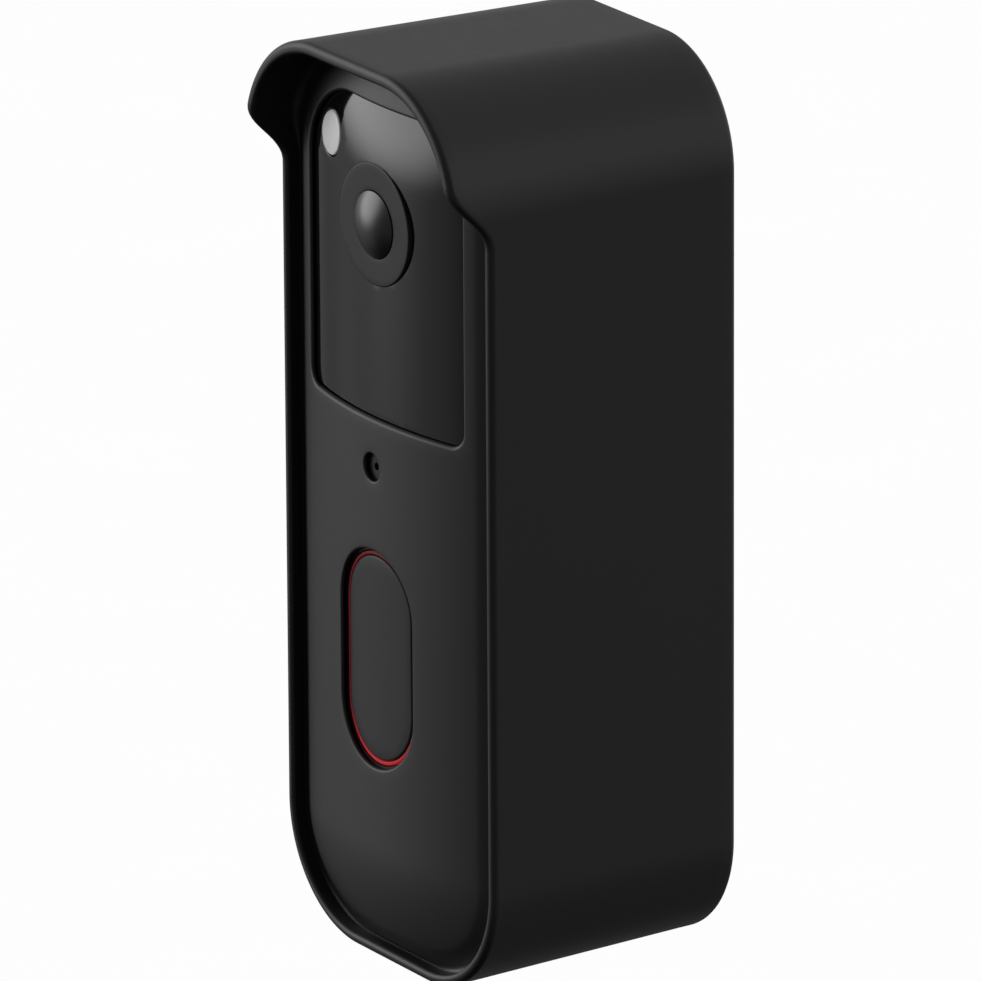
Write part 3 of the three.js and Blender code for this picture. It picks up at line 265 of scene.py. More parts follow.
def turned(name, profile, middle=(0, 0), steps=96, upright=False, sharpAngle=35):
    # A closed profile of (radius, depth) turned about a line along the depth, or of (radius, height) upright.
    points, faces, rings = [], [], []
    for radius, along in profile:
        onAxis = radius < tiny
        start = len(points)
        rings.append([start] * steps if onAxis else list(range(start, start + steps)))
        for i in range(1 if onAxis else steps):
            angle = 2 * math.pi * i / steps
            a, b = middle[0] + radius * math.cos(angle), middle[1] + radius * math.sin(angle)
            place = (a, -b, along) if upright else (a, -along, b)
            points.append(tuple(v * metres for v in place))
    for a, b in zip(rings, rings[1:]):
        for i in range(steps):
            j = (i + 1) % steps
            corner = [a[i], a[j], b[j], b[i]]
            face = [v for k, v in enumerate(corner) if v not in corner[:k]]
            if len(face) > 2:
                faces.append(face)
    mesh = bpy.data.meshes.new(name)
    mesh.from_pydata(points, [], faces)
    return linked(mesh, name, sharpAngle)


def arc(middle, radius, start, end, steps):
    angles = [math.radians(mix(start, end, i / steps)) for i in range(steps + 1)]
    return [(middle[0] + radius * math.cos(a), middle[1] + radius * math.sin(a)) for a in angles]


def prism(points, low, high, upright=False):
    # A prism of a flat outline: of (x, z) between two depths, or of (x, depth) between two heights.
    shell = Shell()
    count = len(points)
    for along in (low, high):
        shell.points.extend((a, -b, along) if upright else (a, -along, b) for a, b in points)
    shell.faces = [(i, (i + 1) % count, count + (i + 1) % count, count + i) for i in range(count)]
    shell.faces += [tuple(range(count)), tuple(range(count, 2 * count))]
    return shell.build("cutter")


def cut(piece, cutters, sharpAngle):
    for cutter in cutters:
        step = piece.modifiers.new("cut", "BOOLEAN")
        step.operation = "DIFFERENCE"
        step.solver = "EXACT"
        step.object = cutter
    graph = bpy.context.evaluated_depsgraph_get()
    shaped = bpy.data.meshes.new_from_object(piece.evaluated_get(graph))
    piece.modifiers.clear()
    piece.data = shaped
    for cutter in cutters:
        bpy.data.objects.remove(cutter)
    shade(shaped, sharpAngle)


class Value:
    # One output of a shader node, so that sums on it read as sums.
    def __init__(self, graph, socket):
        self.graph, self.socket = graph, socket

    def math(self, operation, other, swapped=False):
        first, second = (other, self) if swapped else (self, other)
        return self.graph.node("ShaderNodeMath", {"operation": operation}, {0: first, 1: second})

    def __add__(self, other):
        return self.math("ADD", other)

    def __radd__(self, other):
        return self.math("ADD", other, True)

    def __sub__(self, other):
        return self.math("SUBTRACT", other)

    def __rsub__(self, other):
        return self.math("SUBTRACT", other, True)

    def __mul__(self, other):
        return self.math("MULTIPLY", other)

    def __rmul__(self, other):
        return self.math("MULTIPLY", other, True)


class Graph:
    # The nodes of a material or of the room's light.
    def __init__(self, owner):
        owner.use_nodes = True
        self.tree = owner.node_tree
        self.tree.nodes.clear()

    def node(self, kind, settings={}, sockets={}, out=0):
        made = self.tree.nodes.new(kind)
        for name, value in settings.items():
            setattr(made, name, value)
        for key, value in sockets.items():
            if isinstance(value, Value):
                self.tree.links.new(value.socket, made.inputs[key])
            else:
                made.inputs[key].default_value = value
        return None if out is None else Value(self, made.outputs[out])


class Finish(Graph):
    def __init__(self, name):
        self.material = bpy.data.materials.new(name)
        super().__init__(self.material)
        self.place = self.node("ShaderNodeTexCoord", out="Object")

    def noise(self, size, detail=3, rough=0.5):
        # Noise whose lumps are about the given size in millimetres, from 0 to 1.
        sockets = {"Vector": self.place, "Scale": 1 / (size * metres), "Detail": detail, "Roughness": rough}
        return self.node("ShaderNodeTexNoise", {}, sockets)

    def blend(self, share, low, high):
        sockets = {0: share, 6: (*low, 1), 7: (*high, 1)}
        return self.node("ShaderNodeMix", {"data_type": "RGBA"}, sockets, 2)

    def bump(self, height, strength, distance):
        sockets = {"Height": height, "Strength": strength, "Distance": distance * metres}
        return self.node("ShaderNodeBump", {}, sockets)

    def done(self, sockets):
        shader = self.node("ShaderNodeBsdfPrincipled", {}, sockets, "BSDF")
        self.node("ShaderNodeOutputMaterial", {}, {"Surface": shader}, None)
        return self.material


mouldedLooks = {
    "silicone": {"name": "matte_silicone", "dark": (0.0085, 0.0085, 0.0088), "light": (0.0125, 0.0125, 0.0128),
                 "roughness": 0.44, "grain": 0.16, "depth": 0.006, "specular": 0.4},
    "black_plastic": {"name": "black_plastic", "dark": (0.010, 0.010, 0.011), "light": (0.014, 0.014, 0.015),
                      "roughness": 0.45, "grain": 0.12, "depth": 0.005, "specular": 0.31},
    "white_plastic": {"name": "white_plastic", "dark": (0.62, 0.62, 0.6), "light": (0.7, 0.7, 0.68),
                      "roughness": 0.42, "grain": 0.2, "depth": 0.004, "specular": 0.5},
    "soft_rubber": {"name": "soft_rubber", "dark": (0.014, 0.014, 0.014), "light": (0.022, 0.022, 0.022),
                    "roughness": 0.75, "grain": 0.2, "depth": 0.01, "specular": 0.5},
    "chip_black": {"name": "chip_black", "dark": (0.012, 0.012, 0.013), "light": (0.02, 0.02, 0.021),
                   "roughness": 0.35, "grain": 0.08, "depth": 0.004, "specular": 0.5},
    "cell_wrap": {"name": "cell_wrap", "dark": (0.03, 0.14, 0.3), "light": (0.04, 0.18, 0.36),
                  "roughness": 0.35, "grain": 0.6, "depth": 0.004, "specular": 0.5},
    "amber_film": {"name": "amber_film", "dark": (0.36, 0.15, 0.03), "light": (0.46, 0.2, 0.045),
                   "roughness": 0.3, "grain": 0.3, "depth": 0.003, "specular": 0.5},
}
mouldedGrain = {"drift": 22, "driftShare": 0.7, "fineShare": 0.3, "glossGrains": 14, "glossSpread": 0.05,
                "bump": 0.35}


def moulded(look):
    # A moulded finish: fine grain from the mould, with slow drifts of tone and gloss.
    g = mouldedGrain
    finish = Finish(look["name"])
    drift = finish.noise(g["drift"], 2)
    fine = finish.noise(look["grain"], 3, 0.6)
    tone = drift * g["driftShare"] + fine * g["fineShare"]
    gloss = finish.noise(look["grain"] * g["glossGrains"], 4) * g["glossSpread"]
    return finish.done({
        "Base Color": finish.blend(tone, look["dark"], look["light"]),
        "Roughness": look["roughness"] - g["glossSpread"] / 2 + gloss,
        "Specular IOR Level": look["specular"],
        "Normal": finish.bump(fine, g["bump"], look["depth"]),
    })


brushedLooks = {
    "steel": {"name": "screw_steel", "dark": (0.42, 0.43, 0.44), "light": (0.58, 0.59, 0.6),
              "roughness": 0.25},
    "brass": {"name": "terminal_brass", "dark": (0.55, 0.38, 0.14), "light": (0.7, 0.5, 0.2),
              "roughness": 0.28},
}
brushLines = {"stretch": (1, 1, 14), "scale": 900, "detail": 4, "gloss": 0.15, "bump": 0.2, "depth": 0.004}


def brushed(look):
    b = brushLines
    finish = Finish(look["name"])
    stretched = finish.node("ShaderNodeMapping", {}, {"Vector": finish.place, "Scale": b["stretch"]})
    sockets = {"Vector": stretched, "Scale": b["scale"], "Detail": b["detail"]}
    lines = finish.node("ShaderNodeTexNoise", {}, sockets)
    return finish.done({
        "Base Color": finish.blend(lines, look["dark"], look["light"]),
        "Roughness": look["roughness"] + lines * b["gloss"],
        "Metallic": 1.0,
        "Normal": finish.bump(lines, b["bump"], b["depth"]),
    })


panelLook = {"dark": (0.004, 0.004, 0.0045), "light": (0.006, 0.006, 0.0065), "smear": 9, "roughness": 0.05,
             "gloss": 0.03, "wave": 30, "waveBump": 0.1, "waveDepth": 0.01}


def glassPanel():
    # Glossy black cover glass, with the faintest smears and waves in its polish.
    p = panelLook
    finish = Finish("black_glass")
    smear = finish.noise(p["smear"], 3)
    return finish.done({
        "Base Color": finish.blend(smear, p["dark"], p["light"]),
        "Roughness": p["roughness"] + smear * p["gloss"],
        "Normal": finish.bump(finish.noise(p["wave"], 1), p["waveBump"], p["waveDepth"]),
    })


lensLook = {"dark": (0.004, 0.004, 0.006), "light": (0.007, 0.007, 0.009), "smear": 2.5,
            "roughness": 0.28, "gloss": 0.05, "specular": 0.8}


def lensGlass():
    finish = Finish("lens_glass")
    smear = finish.noise(lensLook["smear"], 2)
    return finish.done({
        "Base Color": finish.blend(smear, lensLook["dark"], lensLook["light"]),
        "Roughness": lensLook["roughness"] + smear * lensLook["gloss"],
        "Specular IOR Level": lensLook["specular"],
    })


boardLook = {"mask": (0.012, 0.06, 0.035), "overTracks": (0.03, 0.13, 0.07), "scale": 260.0,
             "trackWidth": 0.05, "cell": (0, 0, 0, 1), "nextCell": (0.2, 0.2, 0.2, 1), "track": (1, 1, 1, 1),
             "roughness": 0.35, "grain": 0.4, "gloss": 0.15, "bump": 0.3, "depth": 0.03}


def boardGreen():
    # Solder mask over copper tracks: tracks lie a shade lighter and a hair proud.
    b = boardLook
    finish = Finish("circuit_board")
    sockets = {"Vector": finish.place, "Scale": b["scale"], "Mortar Size": b["trackWidth"],
               "Color1": b["cell"], "Color2": b["nextCell"], "Mortar": b["track"]}
    cells = finish.node("ShaderNodeTexBrick", {}, sockets, "Color")
    tracks = finish.node("ShaderNodeSeparateColor", {}, {0: cells}, "Red")
    return finish.done({
        "Base Color": finish.blend(tracks, b["mask"], b["overTracks"]),
        "Roughness": b["roughness"] + finish.noise(b["grain"], 3) * b["gloss"],
        "Normal": finish.bump(tracks, b["bump"], b["depth"]),
    })


pipeLook = {"low": (0.9, 0.02, 0.03), "high": (0.11, 0.003, 0.006), "strength": 0.36, "from": -39, "to": -31,
            "dark": (0.1, 0.004, 0.006), "light": (0.15, 0.006, 0.009), "cloud": 3, "roughness": 0.45,
            "gloss": 0.1, "specular": 0.25}


def redDiffuser():
    # A red light pipe, lit most strongly at its lower end.
    p = pipeLook
    finish = Finish("red_light_pipe")
    span = p["to"] - p["from"]
    height = finish.node("ShaderNodeSeparateXYZ", {}, {0: finish.place}, "Z")
    rise = height * (1 / (metres * span)) - p["from"] / span
    share = finish.node("ShaderNodeClamp", {}, {0: rise})
    cloud = finish.noise(p["cloud"], 2)
    return finish.done({
        "Base Color": finish.blend(cloud, p["dark"], p["light"]),
        "Roughness": p["roughness"] + cloud * p["gloss"],
        "Specular IOR Level": p["specular"],
        "Emission Color": finish.blend(share, p["low"], p["high"]),
        "Emission Strength": p["strength"],
    })


dotLook = {"dark": (0.86, 0.86, 0.86), "light": (0.92, 0.92, 0.92), "cloud": 1.4, "roughness": 0.35,
           "gloss": 0.08, "grain": 0.15, "bump": 0.2, "depth": 0.003}


def whiteDiffuser():
    finish = Finish("white_diffuser")
    cloud = finish.noise(dotLook["cloud"], 3)
    return finish.done({
        "Base Color": finish.blend(cloud, dotLook["dark"], dotLook["light"]),
        "Roughness": dotLook["roughness"] + cloud * dotLook["gloss"],
        "Normal": finish.bump(finish.noise(dotLook["grain"], 2), dotLook["bump"], dotLook["depth"]),
    })


looks = {slot: moulded(look) for slot, look in mouldedLooks.items()}
looks.update({slot: brushed(look) for slot, look in brushedLooks.items()})
looks.update({"gloss_black": glassPanel(), "lens_glass": lensGlass(), "white_diffuser": whiteDiffuser(),
              "red_diffuser": redDiffuser(), "circuit_board": boardGreen()})
print("finishes made:", len(looks))


def dress(piece, slot):
    piece.data.materials.clear()
    piece.data.materials.append(looks[slot])


def fit(piece, slot, body, replaced):
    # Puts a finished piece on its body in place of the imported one.
    dress(piece, slot)
    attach(piece, body)
    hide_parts(replaced)


sleeve = {
    "width": 56, "height": 139.4, "corner": 18.5, "rimDepth": 43.3, "draft": 0.9, "edge": 1.0,
    "rimWidth": 1.7, "rimInnerEdge": 0.6, "groove": 41.0, "grooveRound": 0.03, "grooveRise": 1.1,
    "hoodReach": 6.4, "hoodShoulder": 57.0, "hoodFall": 10.1, "hoodWall": 1.8, "hoodFillet": 1.8,
    "hoodBrow": 0.6, "browWidth": 2.8, "browFall": 0.4, "frontWall": 0.6, "cavityInset": 2.9,
    "cavityFillet": 0.5, "backEdge": 0.5, "spacing": 0.8, "patchSpacing": 1.4, "sharpAngle": 50,
}
sleeveRows = {"edge": 5, "rim": 7, "side": 16, "brim": 6, "rimWall": 7, "fillet": 8, "rise": 5, "brow": 7,
              "hole": 8}
openings = {
    "windowWidth": 40.4, "windowHeight": 46.9, "windowTop": 61.9,
    "windowTopRadius": 12, "windowLowRadius": 2.5,
    "micRadius": 2.1, "micHeight": 7.5, "buttonWidth": 18.9, "buttonHeight": 33.5, "buttonMiddle": -22,
    "windowRound": 0.6, "micRound": 0.35, "buttonRound": 0.4, "innerRound": 0.1,
    "windowSpacing": 0.9, "windowSteps": 14, "buttonSpacing": 0.8,
}


def windowOutline(grow=0):
    middle = (0, openings["windowTop"] - openings["windowHeight"] / 2)
    return Outline(openings["windowWidth"] + 2 * grow, openings["windowHeight"] + 2 * grow,
                   openings["windowTopRadius"] + grow, openings["windowLowRadius"] + grow, middle,
                   openings["windowSpacing"], openings["windowSteps"])


def buttonOutline(grow=0):
    return pill(openings["buttonWidth"] + 2 * grow, openings["buttonHeight"] + 2 * grow,
                (0, openings["buttonMiddle"]), openings["buttonSpacing"])


def makeSleeve():
    s, steps = sleeve, sleeveRows
    shell = Shell()
    outline = Outline(s["width"], s["height"], s["corner"], s["corner"], (0, 0), s["spacing"])
    height = outline.points[:, 1]
    below = np.clip((s["hoodShoulder"] - height) / s["hoodFall"], 0, 1)
    ease = (1 + np.cos(np.pi * below)) / 2  # 1 on the hood, 0 below its shoulders
    top = s["rimDepth"] + s["hoodReach"] * ease
    rimInset = mix(s["rimWidth"], s["hoodWall"], ease)
    fillet = mix(s["grooveRound"], s["hoodFillet"], ease)
    brow = mix(s["browWidth"], s["hoodBrow"], ease)
    inner, back, edge, lip = s["cavityInset"], s["backEdge"], s["edge"], s["rimInnerEdge"]
    rows = []

    def row(inset, depth):
        # One loop round the body, set in from its outline, at a depth or on a surface.
        flat = outline.out(-np.broadcast_to(inset, len(height)))
        rows.append(shell.loop(flat, depth(flat) if callable(depth) else depth))

    def innerDepth(x, z):
        return pillowDepth(x, z, s["frontWall"])

    def cavityFront(flat):
        return innerDepth(flat[:, 0], flat[:, 1]) - s["cavityFillet"]

    def drafted(depth):
        return s["draft"] * (1 - depth / s["rimDepth"])

    def valley(flat):
        return mix(s["groove"], pillowDepth(flat[:, 0], flat[:, 1]), ease)

    def face(flat, share):
        # The face beside the groove, which falls off a little towards it below the hood.
        return pillowDepth(flat[:, 0], flat[:, 1]) - s["browFall"] * (1 - ease) * (1 - smoothStep(share))

    # the cavity, from its front fillet back to the wall
    for angle in quarterTurn(steps["edge"]):
        row(inner + s["cavityFillet"] * (1 - math.sin(angle)),
            lambda flat: cavityFront(flat) + s["cavityFillet"] * math.cos(angle))
    for share in (0.25, 0.5, 0.75):
        row(inner, lambda flat: mix(cavityFront(flat), back, share))
    for angle in quarterTurn(steps["edge"]):
        row(inner - back * (1 - math.cos(angle)), back * (1 - math.sin(angle)))
    # the outside, from the back edge to the rim
    for angle in quarterTurn(steps["edge"]):
        depth = edge * (1 - math.cos(angle))
        row(drafted(depth) + edge * (1 - math.sin(angle)), depth)
    level = s["groove"] - edge
    for share in shares(steps["side"]):
        row(drafted(level * share), mix(edge, level, share))
    for share in shares(steps["brim"])[:-1]:
        depth = mix(level, top - edge, share)
        row(drafted(depth), depth)
    for angle in quarterTurn(steps["rim"]):
        row(drafted(top) + edge * (1 - math.cos(angle)), top - edge * (1 - math.sin(angle)))
    # over the rim, down into the groove and up to the face
    for angle in quarterTurn(steps["rim"]):
        row(rimInset - lip * (1 - math.sin(angle)), top - lip * (1 - math.cos(angle)))
    for share in shares(steps["rimWall"]):
        row(rimInset, lambda flat: mix(top - lip, valley(flat) + fillet, share))
    for angle in quarterTurn(steps["fillet"], 1):
        row(rimInset + fillet * (1 - math.cos(angle)),
            lambda flat: valley(flat) + fillet * (1 - math.sin(angle)))
    for share in shares(steps["rise"]):
        row(rimInset + fillet + s["grooveRise"] * share,
            lambda flat: mix(valley(flat), face(flat, 0), math.sin(quarter * share)))
    for share in shares(steps["brow"]):
        row(rimInset + fillet + s["grooveRise"] + brow * share, lambda flat: face(flat, share))
    shell.strips(rows)

    faceHoles, innerHoles = [], []
    holes = [
        (windowOutline(), openings["windowRound"]),
        (circle(openings["micRadius"], (0, openings["micHeight"])), openings["micRound"]),
        (buttonOutline(), openings["buttonRound"]),
    ]
    for hole, radius in holes:
        outer = edgeLoops(shell, hole, pillowDepth, radius, 1, 1, steps["hole"])
        rear = edgeLoops(shell, hole, innerDepth, openings["innerRound"], 1, -1, hiddenSteps)
        shell.strips([*outer, *rear[::-1]])
        faceHoles.append(outer[0])
        innerHoles.append(rear[0])
    shell.patch(rows[-1], faceHoles, pillowDepth, s["patchSpacing"])
    shell.patch(rows[0], innerHoles, innerDepth, 2 * s["patchSpacing"])
    return shell.build("sleeve", s["sharpAngle"])


bottomCuts = {"slots": 5, "slotPitch": 4, "slotWidth": 2.2, "slotLength": 12.6, "slotDepth": 29.0,
              "portWidth": 14.7, "portReach": 17.15, "portCorner": 1, "over": 2}


def cutSleeveFloor(piece):
    # The sound slots and the one opening that clears the charging port, its cover and the bracket's foot.
    b = bottomCuts
    low = -sleeve["height"] / 2 - b["over"]
    high = low + sleeve["cavityInset"] + 2 * b["over"]
    port = Outline(b["portWidth"], 2 * b["portReach"], b["portCorner"], b["portCorner"], (0, 0), 2, 5)
    cutters = [prism(port.points, low, high, True)]
    for i in range(b["slots"]):
        middle = ((i - (b["slots"] - 1) / 2) * b["slotPitch"], b["slotDepth"])
        slot = Outline(b["slotWidth"], b["slotLength"], b["slotWidth"] / 2, b["slotWidth"] / 2, middle, 1, 8)
        cutters.append(prism(slot.points, low, high, True))
    cut(piece, cutters, sleeve["sharpAngle"])


sleevePiece = makeSleeve()
cutSleeveFloor(sleevePiece)
fit(sleevePiece, "silicone", "sleeve", "silicone_sleeve")
print("sleeve made:", len(sleevePiece.data.polygons), "faces")

device = {"below": 0.85, "windowGrow": 1.3, "windowThickness": 1.5, "windowRound": 0.2, "backRound": 0.15,
          "windowSpacing": 1.5}
eye = {"height": 44.25, "bezelRadius": 9.25, "bezelRise": 0.1, "bezelBore": 5.1, "bezelRound": 0.3,
       "boreRound": 0.1, "bezelBand": 0.5, "bezelSteps": 32, "bezelEdgeSteps": 6, "bezelSpacing": 0.8,
       "skirtRadius": 7.6, "skirtGap": 0.25, "skirtLength": 4,
       "lensRadius": 5.0, "lensCurve": 9, "lensLift": 1.65, "lensBack": 2.6, "lensSteps": 24,
       "dotRadius": 3.3, "dotPlace": (-13.6, 54.55), "dotThickness": 1.7, "dotLift": 0.12, "dotGap": 0.15,
       "dotRound": 0.3, "dotSpacing": 0.8}
glassFront = pillow["apex"] - device["below"]
bezelFront = glassFront + eye["bezelRise"]
eyeMiddle = (0, eye["height"])


def deviceDepth(lift=0.0):
    return lambda x, z: pillowDepth(x, z, device["below"]) + lift


def makeWindow():
    holes = [circle(eye["skirtRadius"] + eye["skirtGap"], eyeMiddle),
             circle(eye["dotRadius"] + eye["dotGap"], eye["dotPlace"])]
    return plate("cameraWindow", windowOutline(device["windowGrow"]), holes, deviceDepth(),
                 deviceDepth(-device["windowThickness"]), device["windowRound"], device["backRound"],
                 device["windowSpacing"])


def makeBezel():
    # A flat ring that stands just proud of the bowed glass, with a straight skirt behind it.
    shell = Shell()
    bore, rim, skirt = (circle(eye[key], eyeMiddle, eye["bezelSteps"])
                        for key in ("bezelBore", "bezelRadius", "skirtRadius"))

    def face(x, z):
        return np.full(len(x), bezelFront)

    def under(outline):
        return shell.loop(outline.points, deviceDepth(-eye["bezelBand"])(*outline.points.T))

    back = glassFront - eye["skirtLength"]
    outerEdge = edgeLoops(shell, rim, face, eye["bezelRound"], -1, 1, eye["bezelEdgeSteps"])
    innerEdge = edgeLoops(shell, bore, face, eye["boreRound"], 1, 1, eye["bezelEdgeSteps"])
    skirtLoops = [under(rim), under(skirt), shell.loop(skirt.points, back), shell.loop(bore.points, back)]
    shell.strips([*outerEdge, *skirtLoops, *innerEdge[::-1]])
    shell.patch(outerEdge[0], [innerEdge[0]], face, eye["bezelSpacing"])
    return shell.build("lensBezel")


def makeLens():
    # A drum behind the bezel with a domed front that stands through its bore.
    curve, back = eye["lensCurve"], glassFront - eye["lensBack"]
    edgeAngle = math.degrees(math.asin(eye["lensRadius"] / curve))
    dome = arc((0, bezelFront + eye["lensLift"] - curve), curve, 90 - edgeAngle, 90, eye["lensSteps"])
    return turned("frontLens", [(0, back), (eye["lensRadius"], back), *dome], eyeMiddle)


def makeDot():
    return plate("sensorDot", circle(eye["dotRadius"], eye["dotPlace"]), [], deviceDepth(eye["dotLift"]),
                 deviceDepth(-eye["dotThickness"]), eye["dotRound"], device["backRound"], eye["dotSpacing"])


fit(makeWindow(), "gloss_black", "doorbell", "camera_window")
fit(makeBezel(), "black_plastic", "doorbell", "lens_bezel")
fit(makeLens(), "lens_glass", "doorbell", "front_lens")
fit(makeDot(), "white_diffuser", "doorbell", "light_sensor_cover")
print("camera made")

button = {"drop": 0.15, "ringInset": 0.5, "ringBand": 0.5, "ringDepth": 4.0, "ringRound": 0.12,
          "ringSpacing": 0.9, "islandGap": 0.12, "capLift": 0.1, "capDepth": 5.2, "capRound": 0.35, "capSpacing": 1.3}
ringInner = -button["ringInset"] - button["ringBand"]


def makeRing():
    return plate("buttonRing", buttonOutline(-button["ringInset"]), [buttonOutline(ringInner)],
                 deviceDepth(-button["drop"]), deviceDepth(-button["ringDepth"]),
                 button["ringRound"], button["ringRound"], button["ringSpacing"])


def makeCap():
    return plate("buttonCap", buttonOutline(ringInner - button["islandGap"]), [],
                 deviceDepth(button["capLift"] - button["drop"]), deviceDepth(-button["capDepth"]),
                 button["capRound"], button["capRound"], button["capSpacing"])


fit(makeRing(), "red_diffuser", "doorbell", "button_light_ring")
fit(makeCap(), "black_plastic", "button", "button_cap")
print("button made")

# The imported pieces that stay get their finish, and the moulded ones softened edges.
slotOf = {row["node"]: row["material_slot"] for row in frame["record"]["subparts"]}
softened = {"rear_housing": 0.3, "front_cover": 0.4, "wall_bracket": 0.3, "port_cover": 0.2,
            "reset_button": 0.2, "battery_tray": 0.2, "lens_holder": 0.2, "charging_port": 0.1}
packedEdges = {"segments": 3, "sharpAngle": 40}


def dressPacked(name, node):
    dress(node, slotOf[name])
    weld = node.modifiers.new("weld", "WELD")
    weld.merge_threshold = tiny
    if name in softened:
        edge = node.modifiers.new("edge", "BEVEL")
        edge.width = softened[name] * metres
        edge.segments = packedEdges["segments"]
        edge.limit_method = "ANGLE"
        edge.angle_limit = math.radians(packedEdges["sharpAngle"])
    shadeSmooth(node.data, packedEdges["sharpAngle"])
    even = node.modifiers.new("even", "WEIGHTED_NORMAL")
    even.keep_sharp = True


for name, node in nodes.items():
    dressPacked(name, node)
print("packed pieces dressed")

screwLook = {"recess": 0.42, "recessDepth": 0.6, "lobes": 6, "lobeSwell": 0.14, "lobeSteps": 72, "pitch": 0.45,
             "thread": 0.16, "shank": 0.5, "headEdge": 0.3, "sunkEdge": 0.12, "neck": 0.3,
             "housingHead": 1.4, "terminalHead": 1.3, "lockHead": 1.1,
             "steps": 48, "edgeSteps": 4, "over": 1, "sharpAngle": 30}


def screwProfile(head, start, end, headHeight, countersunk):
    # Half of the screw's outline: the head, then a thread of even ridges, then the tip.
    s = screwLook
    edge = s["sunkEdge"] if countersunk else s["headEdge"]
    shank, neck = head * s["shank"], start + headHeight
    profile = [(0, start), *arc((head - edge, start + edge), edge, 270, 360, s["edgeSteps"])]
    profile += [(shank, neck)] if countersunk else [(head, neck), (shank, neck)]
    tip = end - shank
    along = neck + s["neck"]
    while along + s["pitch"] < tip:
        profile += [(shank, along), (shank - s["thread"], along + s["pitch"] / 2)]
        along += s["pitch"]
    return [*profile, (shank, tip), (0, end)]


def screw(name, node, body, headHeight, upright=False, countersunk=False):
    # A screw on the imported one's own axis: a rounded head with a lobed driver recess, and a threaded shank.
    s = screwLook
    low, high = (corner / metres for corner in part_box(node))
    head, x = (high.x - low.x) / 2, (high.x + low.x) / 2
    if upright:
        start, end, side = low.z, high.z, -(high.y + low.y) / 2
    else:
        start, end, side = -high.y, -low.y, (high.z + low.z) / 2
    profile = screwProfile(head, start, end, headHeight, countersunk)
    piece = turned(name, profile, (x, side), s["steps"], upright, s["sharpAngle"])
    turns = np.linspace(0, 2 * math.pi, s["lobeSteps"], endpoint=False)
    reach = head * s["recess"] * (1 + s["lobeSwell"] * np.cos(s["lobes"] * turns))
    recess = np.column_stack((x + reach * np.cos(turns), side + reach * np.sin(turns)))
    cut(piece, [prism(recess, start - s["over"], start + s["recessDepth"], upright)], s["sharpAngle"])
    fit(piece, "steel", body, node)


for i in range(4):
    screw(f"housingScrew{i + 1}", f"housing_screw_{i + 1}", "doorbell", screwLook["housingHead"])
for side in ("left", "right"):
    screw(f"terminalScrew{side.capitalize()}", f"terminal_screw_{side}", "doorbell", screwLook["terminalHead"])
screw("lockScrew", "lock_screw", "lock", screwLook["lockHead"], upright=True, countersunk=True)
print("screws made")

view = {"turn": 56.833, "rise": 18.05, "roll": -0.319, "distance": 1952.4, "lens": 487.8, "sensor": 36,
        "target": (-5.305, -21.67, -1.872), "nearest": 50, "farthest": 50000}


def towards(turn, rise):
    # The direction to a place at a turn round the doorbell from its front, and a rise above the level.
    a, e = math.radians(turn), math.radians(rise)
    return Vector((math.sin(a) * math.cos(e), -math.cos(a) * math.cos(e), math.sin(e)))


def placeCamera():
    back = towards(view["turn"], view["rise"])
    a, roll = math.radians(view["turn"]), math.radians(view["roll"])
    flat = Vector((math.cos(a), math.sin(a), 0))
    up = back.cross(flat)
    right = flat * math.cos(roll) + up * math.sin(roll)
    above = up * math.cos(roll) - flat * math.sin(roll)
    data = bpy.data.cameras.new("studioCamera")
    data.lens = view["lens"]
    data.sensor_width = view["sensor"]
    data.clip_start = view["nearest"] * metres
    data.clip_end = view["farthest"] * metres
    camera = bpy.data.objects.new("studioCamera", data)
    spot = (Vector(view["target"]) + back * view["distance"]) * metres
    camera.matrix_world = Matrix.Translation(spot) @ Matrix((right, above, back)).transposed().to_4x4()
    bpy.context.scene.collection.objects.link(camera)
    bpy.context.scene.camera = camera


placeCamera()
room = {"paper": 0.985, "paperGrain": 0.004, "fibre": 40, "floorDrop": 0.45, "floorSize": 12, "level": 0.2}
# Soft zones of the room's light: where each lies, how bright it is and how far it spreads, in degrees.
glows = [
    {"turn": -51, "rise": 14, "level": 3.6, "core": 10, "fade": 35},
    {"turn": -52, "rise": -18, "level": 0.27, "core": 8, "fade": 29},
    {"turn": -90, "rise": 10, "level": 0.3, "core": 10, "fade": 35},
    {"turn": -123, "rise": 24, "level": 0.42, "core": 10, "fade": 50},
    {"turn": 180, "rise": 5, "level": 0.9, "core": 15, "fade": 38},
    {"turn": 145, "rise": 45, "level": 0.44, "core": 25, "fade": 55},
    {"turn": 122, "rise": 14, "level": 0.66, "core": 8, "fade": 34},
    {"turn": 123, "rise": -20, "level": 0.05, "core": 30, "fade": 60},
    {"turn": -30, "rise": -65, "level": -0.18, "core": 20, "fade": 56},
    {"turn": 110, "rise": -75, "level": -0.1, "core": 20, "fade": 50},
]


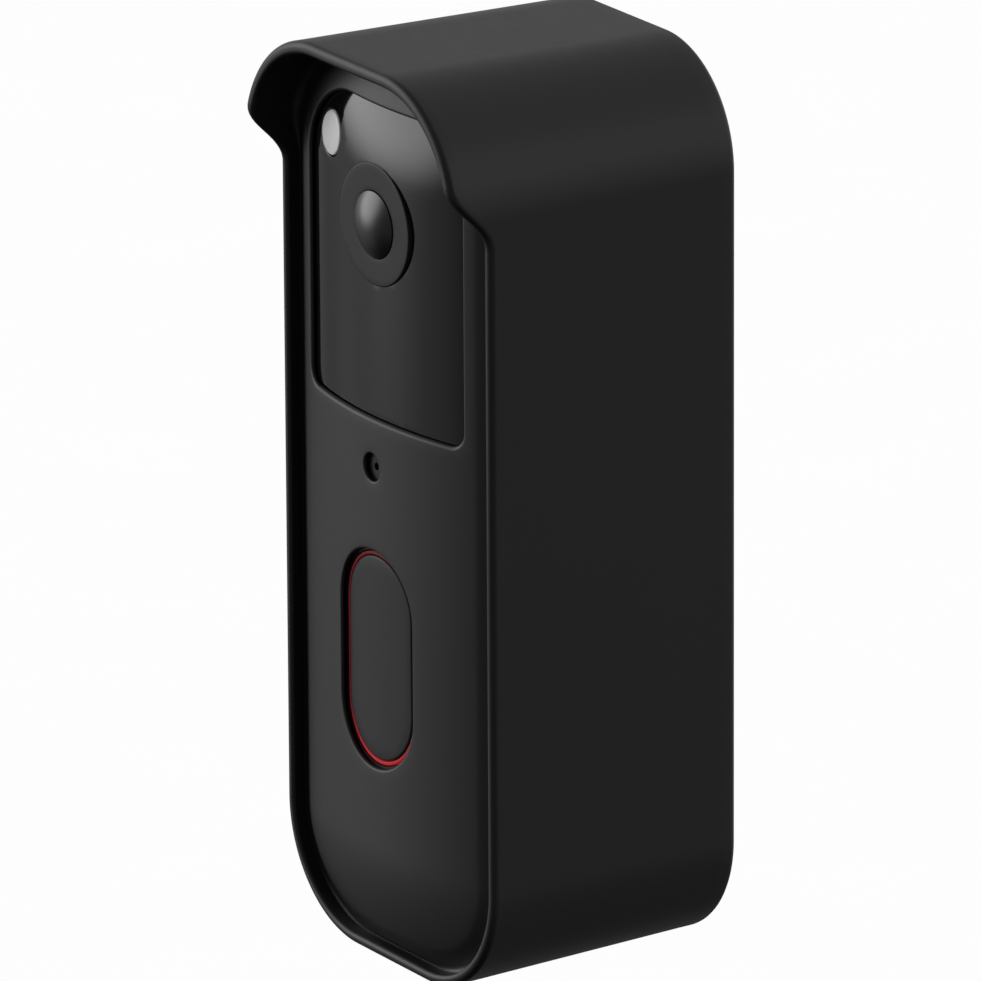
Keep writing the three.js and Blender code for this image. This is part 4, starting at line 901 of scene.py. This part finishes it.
def lightRoom():
    # Zones of light lie on the sky by their direction; the backdrop itself is plain paper.
    world = bpy.data.worlds.new("studio")
    bpy.context.scene.world = world
    sky = Graph(world)
    way = sky.node("ShaderNodeTexCoord", out="Generated")
    level = room["level"]
    for glow in glows:
        sockets = {0: way, 1: towards(glow["turn"], glow["rise"])}
        along = sky.node("ShaderNodeVectorMath", {"operation": "DOT_PRODUCT"}, sockets, "Value")
        sockets = {"Value": along, "From Min": math.cos(math.radians(glow["fade"])),
                   "From Max": math.cos(math.radians(glow["core"])), "To Max": glow["level"]}
        level = level + sky.node("ShaderNodeMapRange", {"interpolation_type": "SMOOTHERSTEP"}, sockets)
    lit = sky.node("ShaderNodeBackground", {}, {"Strength": level.math("MAXIMUM", 0)})
    paper = sky.node("ShaderNodeBackground", {}, {"Color": (*[room["paper"]] * 3, 1)})
    seen = sky.node("ShaderNodeLightPath", out="Is Camera Ray")
    either = sky.node("ShaderNodeMixShader", {}, {0: seen, 1: lit, 2: paper})
    sky.node("ShaderNodeOutputWorld", {}, {"Surface": either}, None)


def paperFinish():
    # Pale paper that glows evenly, and is clear from behind so that the bottom can be seen.
    finish = Finish("pale_paper")
    dark, light = ([room["paper"] + change] * 3 for change in (-room["paperGrain"], room["paperGrain"]))
    tone = finish.blend(finish.noise(room["fibre"], 3), dark, light)
    sheet = finish.node("ShaderNodeEmission", {}, {"Color": tone})
    clear = finish.node("ShaderNodeBsdfTransparent")
    behind = finish.node("ShaderNodeNewGeometry", out="Backfacing")
    surface = finish.node("ShaderNodeMixShader", {}, {0: behind, 1: sheet, 2: clear})
    finish.node("ShaderNodeOutputMaterial", {}, {"Surface": surface}, None)
    return finish.material


def layFloor():
    half = room["floorSize"] / 2
    ground = cadBounds[0][2] - room["floorDrop"]
    corners = [(-half, -half, ground), (half, -half, ground), (half, half, ground), (-half, half, ground)]
    mesh = bpy.data.meshes.new("paperFloor")
    mesh.from_pydata(corners, [], [(0, 1, 2, 3)])
    mesh.materials.append(paperFinish())
    floor = bpy.data.objects.new("paperFloor", mesh)
    bpy.context.scene.collection.objects.link(floor)
    for rays in ("diffuse", "glossy", "shadow", "transmission"):
        setattr(floor, f"visible_{rays}", False)


lightRoom()
layFloor()
bpy.context.scene.view_settings.view_transform = "Standard"
print("studio set")
